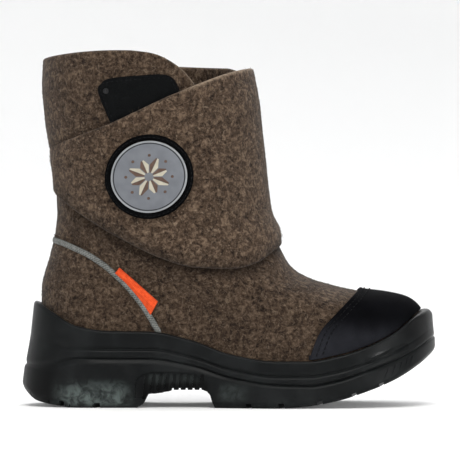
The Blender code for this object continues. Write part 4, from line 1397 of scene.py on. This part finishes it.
def flutes():
    """Row of slots in either pocket, which leaves the ribs between them."""
    low, length, lean = ARCH_HEIGHT - 5.0, 20.0, 0.14
    half = FLUTE_WIDTH / 2
    arcs = [(half * math.cos(a), half * math.sin(a)) for a in np.linspace(0, math.pi, 7)]
    bars = []
    for n in range(FLUTES):
        x = FLUTE_FIRST + FLUTE_PITCH * n
        outline = [(half, low), *((dx, FLUTE_TOP - half + dz) for dx, dz in arcs), (-half, low)]
        outline = [(dx + lean * (z - ARCH_HEIGHT), z) for dx, z in outline]
        for outer in (True, False):
            wall = wall_point(x, ARCH_HEIGHT + 3.0, outer, 0.0)
            ends = (wall - math.copysign(FLUTE_DEPTH, wall), wall + math.copysign(length, wall))
            bars.append(bar([[(x + dx, y, z) for dx, z in outline] for y in ends]))
    return bars


def teeth():
    """Grooves across the arch's roof, which leave its ribs as teeth."""
    half, high, low = 0.85, 0.9, 4.0
    bars = []
    for n in range(TOOTH_FIRST, FLUTES):
        x = FLUTE_FIRST + FLUTE_PITCH * n
        outline = ((x - half, -low), (x - 0.6 * half, high), (x + 0.6 * half, high), (x + half, -low))
        bars.append(bar([[(dx, y, ARCH_HEIGHT + dz) for dx, dz in outline] for y in (-ACROSS, ACROSS)]))
    return bars


def wall_at(turn, z, stands_out):
    """Point of the sole's flared wall at this turn and height, this far outside it."""
    spot, out = sole_outline(np.array(turn))
    point = spot + out * (wall_width(spot, z) + stands_out)
    return np.array([point[0], point[1], z])


def nicks():
    """Small notches in the tread's edge, round the back of the heel."""
    half, deep, high, past = 1.0, 5.0, 1.9, 6.0
    wall_z = 8.0
    bars = []
    for turn in (-44.0, -35.0, -26.0, -15.0, 0.0, 15.0, 26.0, 35.0, 44.0):
        inner, outer = wall_at(turn, wall_z, -deep), wall_at(turn, wall_z, deep)
        low = SOLE_LINES("tread", between(inner, outer, 0.5)[0])
        side = unit(np.cross(outer - inner, (0.0, 0.0, 1.0))) * half
        outline = ((-1.0, low - past), (1.0, low - past), (0.25, low + high), (-0.25, low + high))
        ends = [[(*(end + side * across)[:2], z) for across, z in outline] for end in (inner, outer)]
        bars.append(bar(ends))
    return bars


def toe_flutes():
    """Fine slanted grooves on the lower wall, on either side of the toe."""
    deep, past, wall_z = 0.30, 3.0, 25.0
    half, lean = 0.3056, 2.2       # degrees of turn
    corners = ((-half, -deep), (half, -deep), (half, past), (-half, past))
    bars = []
    for turn in (137.0, 140.0, 143.0, 146.0, 149.0):
        for side in (1, -1):
            sections = []
            for share in np.linspace(0, 1, 4):
                here = side * (turn + lean * share)
                x = wall_at(here, wall_z, 0.0)[0]
                z = between(SOLE_LINES("tread", x) + 2.6, SOLE_LINES("bead_low", x) - 2.2, share)
                sections.append([wall_at(here + across, z, out) for across, out in corners])
            bars.append(bar(sections))
    return bars


# Trim

def patch_spot(a, b):
    """Place on the loop patch, from -1 to 1 along and across it, seen from the outer side."""
    corner = 1 - 0.11 * (a * b) ** 6 - 0.13 * (np.maximum(-a, 0) * np.maximum(b, 0)) ** 3
    along, down = a * corner * PATCH_LENGTH / 2, b * corner * PATCH_WIDTH / 2
    along = along - down * PATCH_SLANT
    cos, sin = math.cos(math.radians(PATCH_TILT)), math.sin(math.radians(PATCH_TILT))
    return PATCH_X + along * cos - down * sin, PATCH_Z + along * sin + down * cos


def build_patch(loops, thread, gloss):
    """Hook-and-loop patch: a slanted strip with round corners, sewn round its edge, and a small rivet."""
    seam, sunk = 2.0, 0.30
    a, b = np.meshgrid(graded(-1, 1, 58, EDGE_STEPS, 1 / 24), graded(-1, 1, 40, EDGE_STEPS, 1 / 16))
    turn, level = side_spot(*patch_spot(a, b))
    edge = np.minimum((1 - np.abs(a)) * PATCH_LENGTH, (1 - np.abs(b)) * PATCH_WIDTH) / 2
    sewn = -sunk * bump(edge - seam, 0.55)
    face = skin(turn, level, GAP + PATCH + sewn + 0.10 * lumps(surface(turn, level), 1.6, 5.0))
    verts, faces, _ = shell(face, outward(turn, level), PATCH, edge)
    add_piece("loop_patch_cloth", verts, faces, loops, "loop_cloth", "loop_patch")

    there, back, ones = np.linspace(-1, 1, 60), np.linspace(1, -1, 60), np.ones(60)
    a = np.concatenate([there, ones, back, -ones]) * (1 - 2 * seam / PATCH_LENGTH)
    b = np.concatenate([ones, back, -ones, there]) * (1 - 2 * seam / PATCH_WIDTH)
    turn, level = side_spot(*patch_spot(a, b))
    path = skin(turn, level, np.full(turn.shape, GAP + PATCH - sunk))
    row = stitch_row(path, outward(turn, level), *PATCH_STITCH)
    add_stitches("loop_patch_stitches", [row], thread, "loop_cloth")
    verts, faces = rivet()
    add_piece("loop_patch_rivet", verts, faces, gloss, "loop_cloth")


def rivet():
    """Small domed rivet with a rim, near the patch's upper back corner."""
    profile = ((1.0, 0.0), (1.0, 0.45), (0.9, 0.62), (0.78, 0.60), (0.70, 0.42), (0.55, 0.50), (0.3, 0.72),
               (0.02, 0.80))
    turn, level = side_spot(RIVET_X, RIVET_Z)
    centre, out = surface(turn, level), outward(turn, level)
    one = unit(np.cross((0.0, 0.0, 1.0), out))
    two = np.cross(out, one)
    angles = np.linspace(0, 2 * np.pi, 28, endpoint=False)
    flat = np.cos(angles)[:, None] * one + np.sin(angles)[:, None] * two
    base = GAP + PATCH - 0.15
    return bar([centre + flat * share * RIVET_SIZE + out * (base + height) for share, height in profile])


def badge_place(dx, dz, out):
    """Point this far outside the flap's face, at a distance from the badge's middle, and the way out."""
    turn, level = side_spot(BADGE_X + dx, BADGE_Z + dz)
    return skin(turn, level, flap_out(turn) + FELT + out), outward(turn, level)


def badge_polar(angle, share, out):
    dx, dz = share * BADGE_WIDTH / 2 * np.cos(angle), share * BADGE_TALL / 2 * np.sin(angle)
    return badge_place(dx, dz, out)[0]


def turned(profile):
    """Grid of the badge's points for a profile of shares of its radius and heights."""
    angles = np.linspace(0, 2 * np.pi, 120, endpoint=False)
    share, out = np.array(profile, float).T[..., None]
    return badge_polar(*np.broadcast_arrays(angles, share, out))


def add_band(name, profile, finish, slot, *nodes):
    """Ring round the badge, whose profile closes on itself."""
    points = turned(profile)
    rows, columns, _ = points.shape
    index = np.arange(rows * columns).reshape(rows, columns)
    faces = quads(np.concatenate([index, index[:1]]), closed=True)[..., ::-1]
    add_piece(name, points.reshape(-1, 3), faces.reshape(-1, 4).tolist(), finish, slot, *nodes)


def build_badge(rubber, film, bright, line, brown, cream, thread):
    """Round badge: a rubber ring, a grey face with a bright border, and an eight-pointed star."""
    inside = 1 - 2 * BADGE_RING / BADGE_WIDTH
    top = GAP + BADGE_RIM_HEIGHT
    rim = [(1.0, GAP), (1.004, 0.9), (0.995, 1.6), (0.98, 2.2), (0.962, 2.55), (0.94, top), (0.915, 2.66),
           (0.893, 2.45), (0.877, 2.1), (inside, 1.6), (inside, GAP)]
    add_band("badge_ring", rim, rubber, "sole_rubber", "badge_rim")

    play = inside - 2 * GAP / BADGE_WIDTH
    face_top = GAP + BADGE_FACE_HEIGHT
    disc = [(play, GAP), (play, face_top - 0.35), (play - 0.008, face_top - 0.1)]
    disc += [(share, face_top) for share in (play - 0.02, 0.70, 0.55, 0.40, 0.25, 0.12, 0.02)]
    verts, faces = bar(turned(disc))
    add_piece("badge_disc", verts, faces, film, "badge", "badge_face")

    borders = (("badge_border", 0.812, 0.853, 0.16, bright), ("badge_line", 0.783, 0.808, 0.07, line))
    for name, low, high, rise, finish in borders:
        foot, shoulder, crest = face_top - 0.3, face_top + rise * 0.7, face_top + rise
        band = [(high, foot), (high, shoulder), (high - 0.004, crest),
                (low + 0.004, crest), (low, shoulder), (low, foot)]
        add_band(name, band, finish, "badge")
    build_star(face_top, brown, cream)

    angles = np.linspace(0, 2 * np.pi, 240)
    path = badge_polar(angles, np.full(240, 0.938), np.full(240, top - 0.02))
    normals = badge_place(21 * np.cos(angles), 21 * np.sin(angles), np.zeros(240))[1]
    add_stitches("badge_stitches", [stitch_row(path, normals, *BADGE_STITCH)], thread, "sole_rubber")


def build_star(base, brown, cream):
    """Eight-pointed star, each point half brown and half cream, with a dot between the points."""
    halves = {"badge_star_brown": [], "badge_star_cream": []}
    for n in range(STAR_POINTS):
        middle = 2 * math.pi * (n + 0.5) / STAR_POINTS
        reach = STAR_TIP if n % 2 else STAR_TIP * STAR_SHORT
        for name, side in (("badge_star_brown", 1), ("badge_star_cream", -1)):
            waist = middle + side * math.pi / STAR_POINTS
            corners = [(0.35, middle), (STAR_WAIST, waist - side * 0.03), (reach, middle)]
            points = [(r * math.cos(a), r * math.sin(a)) for r, a in corners]
            halves[name].append(plate(points, base))
        spot = middle + math.pi / STAR_POINTS
        halves["badge_star_brown"].append(dot(DOT_PLACE * math.cos(spot), DOT_PLACE * math.sin(spot), base))
    for name, finish in (("badge_star_brown", brown), ("badge_star_cream", cream)):
        verts, faces = joined(halves[name])
        star = add_piece(name, verts, faces, finish, "badge")
        recalculate(star.data)
        sharpen(star, 40)


def plate(corners, base):
    """Thin three-cornered plate on the badge's face."""
    tip, waist, far = (np.array(corner) for corner in corners)
    across = np.linspace(0, 1, 4)[:, None]
    rows = []
    for share in np.linspace(0, 1, 7):
        left = between(tip, far, share)
        right = between(tip, waist, share / 0.5) if share < 0.5 else between(waist, far, (share - 0.5) / 0.5)
        gap = right - left
        rows.append(between(left + gap * 0.04, right - gap * 0.02, across))
    flat = np.array(rows)
    top, low = (badge_place(flat[..., 0], flat[..., 1], np.full(flat.shape[:2], base + out))[0]
                for out in (0.14, -0.12))
    sections = np.concatenate([top, low[:, ::-1]], axis=1)
    return bar(sections[1:-1])


def dot(x, z, base):
    """Small round dot on the badge's face."""
    angles = np.linspace(0, 2 * np.pi, 20, endpoint=False)
    cos, sin = np.cos(angles), np.sin(angles)
    rings = []
    for size, out in ((0.75, -0.12), (0.75, 0.10), (0.6, 0.15), (0.1, 0.17)):
        rings.append(badge_place(x + size * cos, z + size * sin, np.full(len(angles), base + out))[0])
    return bar(rings)


def piping_frame(turn):
    """Points of the upper's face under the piping, the way out, and the way across it, forwards and up."""
    level = level_at(turn, PIPING_ROUTE("z", turn))
    ahead = surface(turn + 0.5, level_at(turn + 0.5, PIPING_ROUTE("z", turn + 0.5)))
    behind = surface(turn - 0.5, level_at(turn - 0.5, PIPING_ROUTE("z", turn - 0.5)))
    out = outward(turn, level)
    return surface(turn, level), out, unit(np.cross(out, ahead - behind))


def build_piping(tape, thread):
    """Half-round piping along the counter seam, with stitches beside it."""
    turn = np.linspace(PIPING_ROUTE.keys[0], PIPING_ROUTE.keys[-1], 230)
    spot, out, across = piping_frame(turn)
    above_rim = spot[:, 2] - SOLE_LINES("rim", spot[:, 0])
    spot = spot - out * PIPING_SINK * ramp(above_rim, 1.2, -0.8)[:, None]
    sides = 14
    angle = np.linspace(0, math.pi, sides)
    form = np.abs(np.sin(angle)) ** 0.8
    height = PIPING_HEIGHT * between(PIPING_FLAT, 1.0, ramp(np.abs(turn), 0, 30))
    rise = GAP - 0.25 + (height + 0.25)[:, None] * form
    sections = (spot[:, None] + across[:, None] * np.cos(angle)[:, None] * PIPING_WIDTH / 2
                + out[:, None] * rise[..., None])
    verts, faces = bar(sections)
    piece = add_piece("piping_tape", verts, faces, tape, "reflective", "piping")
    recalculate(piece.data)
    sharpen(piece, 60)
    run = np.concatenate([[0], np.cumsum(np.linalg.norm(np.diff(spot, axis=0), axis=1))])
    set_attribute(piece, "along", np.repeat(run, sides))
    set_attribute(piece, "across", np.tile(angle * PIPING_WIDTH / 2, len(turn)))
    # Painted shade along the piping's two edges, where it meets the felt.
    set_attribute(piece, "shade", np.tile(1 - ramp(np.sin(angle), 0, 0.5), len(turn)))

    rows = []
    clear = above_rim > 2.0
    for side in (1, -1):
        path = spot + across * side * (PIPING_WIDTH / 2 + 1.1) + out * 0.05
        rows.append(stitch_row(path[clear], out[clear], *PIPING_STITCH))
    add_stitches("piping_stitches", rows, thread, "felt")


def tag_frame(turn):
    """Points under the tag's back edge, the way out, and the way forwards from them."""
    spot, out, forward = piping_frame(turn)
    forward = np.where(forward[..., :1] < 0, -forward, forward)
    return spot + forward * (PIPING_WIDTH / 2 + GAP) + out * 2 * GAP, out, forward


def build_tag(ribbon):
    """Folded ribbon tag that stands out of the seam, in front of the piping, with a straight front edge."""
    tucked = 1.2
    share = graded(0.0, 1.0, 20, EDGE_STEPS, 1 / 30)
    up = graded(0.0, 1.0, 14, EDGE_STEPS, 1 / 26)
    across, rise = np.meshgrid(share, up)
    corners = []
    for turn, reach, slant in ((TAG_UPPER, TAG_NARROW, 0.0), (TAG_LOWER, TAG_WIDE, TAG_SLANT)):
        root, out, forward = tag_frame(np.array(turn))
        corners.append(root + forward * reach + np.cross(out, forward) * slant + out * TAG_LIFT)
    root, out, forward = tag_frame(between(TAG_UPPER, TAG_LOWER, across))
    front = between(corners[0], corners[1], across[..., None])
    bend = 0.25 * np.sin(across * math.pi) * rise - 0.3 * np.sin(rise * math.pi)
    face = between(root - forward * tucked, front, rise[..., None]) + out * (TAG + bend)[..., None]
    normals = unit(np.cross(np.gradient(face, axis=1), np.gradient(face, axis=0)))
    normals = np.where((normals * out).sum(-1, keepdims=True) < 0, -normals, normals)
    width = np.linalg.norm(face[0, -1] - face[0, 0])
    long = tucked + between(TAG_NARROW, TAG_WIDE, across)
    edge = np.minimum(np.minimum(across, 1 - across) * width, np.minimum(rise, 1 - rise) * long)
    verts, faces, used = shell(face, normals, TAG, np.maximum(edge, 0.0))
    piece = add_piece("tag_ribbon", verts, faces, ribbon, "ribbon", "side_tag")
    recalculate(piece.data)
    # Painted shade along the tag's edges and under its fold.
    under_fold = 0.30 * ramp(between(0.30, 0.52, across) - rise, 0, 0.06)
    set_on_shell(piece, "along", across * width, used)
    set_on_shell(piece, "across", long * rise, used)
    set_on_shell(piece, "shade", np.maximum(0.45 * bump(edge, 0.45), under_fold), used)


def build_vamp_seam(thread):
    """Short sewn line across the outer side of the vamp, which runs down to the rim."""
    share = np.linspace(0, 1, 60)
    x, z = between(22.5, 10.5, share) + 1.5 * np.sin(np.pi * share), between(53.0, 27.5, share)
    turn, level = side_spot(x, z)
    normals, points = outward(turn, level), surface(turn, level)
    path = points + normals * upper_form(turn, points)[:, None]
    add_stitches("vamp_stitches", [stitch_row(path, normals, *VAMP_STITCH)], thread, "felt")


def build_flap_seam(thread):
    """Two rows of stitches where the flap is sewn to the inner side."""
    from_edge = 3
    rows = []
    for turn in (203.0, 206.5):
        z = np.linspace(float(FLAP("low", turn)) + from_edge, float(FLAP("top", turn)) - from_edge, 160)
        turns = np.full(z.shape, turn)
        level = level_at(turns, z)
        thick = FELT * FLAP("felt", turns) * flap_taper(turns)
        path = skin(turns, level, flap_out(turns) + thick + flap_wave(turns, z) - 0.1)
        rows.append(stitch_row(path, outward(turns, level), *FLAP_STITCH))
    add_stitches("flap_stitches", rows, thread, "felt")


# Stage

def build_stage():
    """Pale floor that sweeps up into a round wall."""
    radius, sweep, tall, segments = 3.4, 1.4, 4.2, 96
    profile = [(0.0001, 0.0), (0.5, 0.0), (1.2, 0.0), (radius - sweep, 0.0)]
    for a in np.linspace(0.1, math.pi / 2, 16):
        profile.append((radius - sweep + sweep * math.sin(a), sweep - sweep * math.cos(a)))
    profile.append((radius, tall))
    angles = np.linspace(0, 2 * math.pi, segments, endpoint=False)
    verts = [(r * math.cos(a), r * math.sin(a), z) for r, z in profile for a in angles]
    index = np.arange(len(verts)).reshape(len(profile), segments)
    mesh = bpy.data.meshes.new("studio")
    mesh.from_pydata(verts, [], quads(index, closed=True).reshape(-1, 4).tolist())
    mesh.shade_smooth()
    mesh.materials.append(floor_material())
    studio = bpy.data.objects.new("studio", mesh)
    bpy.context.scene.collection.objects.link(studio)


def add_light(name, place, size, watts, colour):
    """Soft square light that looks at the boot's middle."""
    data = bpy.data.lights.new(name, "AREA")
    data.size = size
    data.energy = watts
    data.color = colour
    light = bpy.data.objects.new(name, data)
    light.location = place
    light.rotation_euler = (Vector(LIT_POINT) - Vector(place)).to_track_quat("-Z", "Y").to_euler()
    bpy.context.scene.collection.objects.link(light)


def build_lights():
    for name, settings in LIGHTS.items():
        add_light(name, *settings)
    world = bpy.data.worlds.new("studio_air")
    world.use_nodes = True
    air = world.node_tree.nodes["Background"]
    air.inputs["Color"].default_value = AIR_COLOUR
    air.inputs["Strength"].default_value = AIR_STRENGTH
    bpy.context.scene.world = world


def build_camera():
    """Camera at the photo's angle to the boot."""
    data = bpy.data.cameras.new("camera")
    data.sensor_width = SENSOR
    data.lens = SENSOR * CAMERA_DISTANCE / PICTURE_WIDTH
    data.clip_start = 0.01
    camera = bpy.data.objects.new("camera", data)
    camera.location = (0.0, -CAMERA_DISTANCE * MM, CAMERA_HEIGHT * MM)
    camera.rotation_euler = (math.pi / 2, 0.0, 0.0)
    bpy.context.scene.collection.objects.link(camera)
    bpy.context.scene.camera = camera


def build_boot():
    """Makes the materials, and then the pieces."""
    # The flap's felt is a lighter copy of the upper's brown felt: painted light, as the flap catches more
    # light than the counter and the vamp.
    felt = felt_material("brown_felt", (0.0085, 0.0051, 0.0034), (0.0425, 0.0269, 0.0170),
                         (0.110, 0.0762, 0.0512), (0.200, 0.150, 0.105))
    flap_felt = felt_material("flap_felt", (0.0098, 0.0059, 0.0039), (0.0520, 0.0329, 0.0209),
                              (0.141, 0.0978, 0.0662), (0.262, 0.197, 0.140))
    footbed = felt_material("grey_felt", (0.070, 0.060, 0.052), (0.150, 0.132, 0.115),
                            (0.230, 0.205, 0.180), (0.36, 0.33, 0.30))
    fibres = fibre_material("wool_fibres", (0.012, 0.008, 0.0054), (0.090, 0.0635, 0.0440))
    rubber = rubber_material("black_rubber", (0.0044, 0.0050, 0.0052), (0.0145, 0.0160, 0.0165),
                             (0.082, 0.100, 0.095), 2300.0, 0.38)
    ring_rubber = cap_material("badge_rubber", (0.0022, 0.0023, 0.0025), (0.0044, 0.0046, 0.0050), 0.0)
    cap = cap_material("toe_cap_grain", (0.0020, 0.0021, 0.0026), (0.0042, 0.0043, 0.0052), 1.0)
    black_thread = thread_material("black_thread", (0.003, 0.003, 0.0035), (0.009, 0.009, 0.010))
    brown_thread = thread_material("brown_thread", (0.020, 0.013, 0.009), (0.060, 0.042, 0.029))
    dark_thread = thread_material("dark_thread", (0.008, 0.006, 0.005), (0.020, 0.014, 0.010))
    film = film_material("grey_film", (0.110, 0.117, 0.132), (0.138, 0.146, 0.162))
    bright = film_material("bright_film", (0.21, 0.22, 0.23), (0.26, 0.27, 0.28))
    line = paint_material("dark_line", (0.010, 0.011, 0.014), (0.016, 0.017, 0.020))
    brown = paint_material("brown_print", (0.070, 0.040, 0.028), (0.095, 0.056, 0.040))
    cream = paint_material("cream_print", (0.36, 0.33, 0.26), (0.42, 0.39, 0.31))
    tape = weave_material("grey_tape", (0.062, 0.063, 0.059), (0.185, 0.190, 0.178), 1.4, 0.6)
    ribbon = weave_material("orange_ribbon", (0.60, 0.050, 0.010), (0.90, 0.115, 0.026), 0.7, 0.0)
    gloss = paint_material("black_gloss", (0.004, 0.004, 0.0045), (0.006, 0.006, 0.007))

    build_sole(rubber)
    build_insole(footbed)
    build_upper(felt, fibres)
    build_flap(flap_felt, fibres)
    build_flap_seam(brown_thread)
    build_vamp_seam(dark_thread)
    build_toe_cap(cap, black_thread)
    build_patch(loop_material(), black_thread, gloss)
    build_badge(ring_rubber, film, bright, line, brown, cream, black_thread)
    build_piping(tape, brown_thread)
    build_tag(ribbon)


bpy.context.scene.view_settings.view_transform = "Standard"
build_camera()
build_stage()
build_lights()
build_boot()
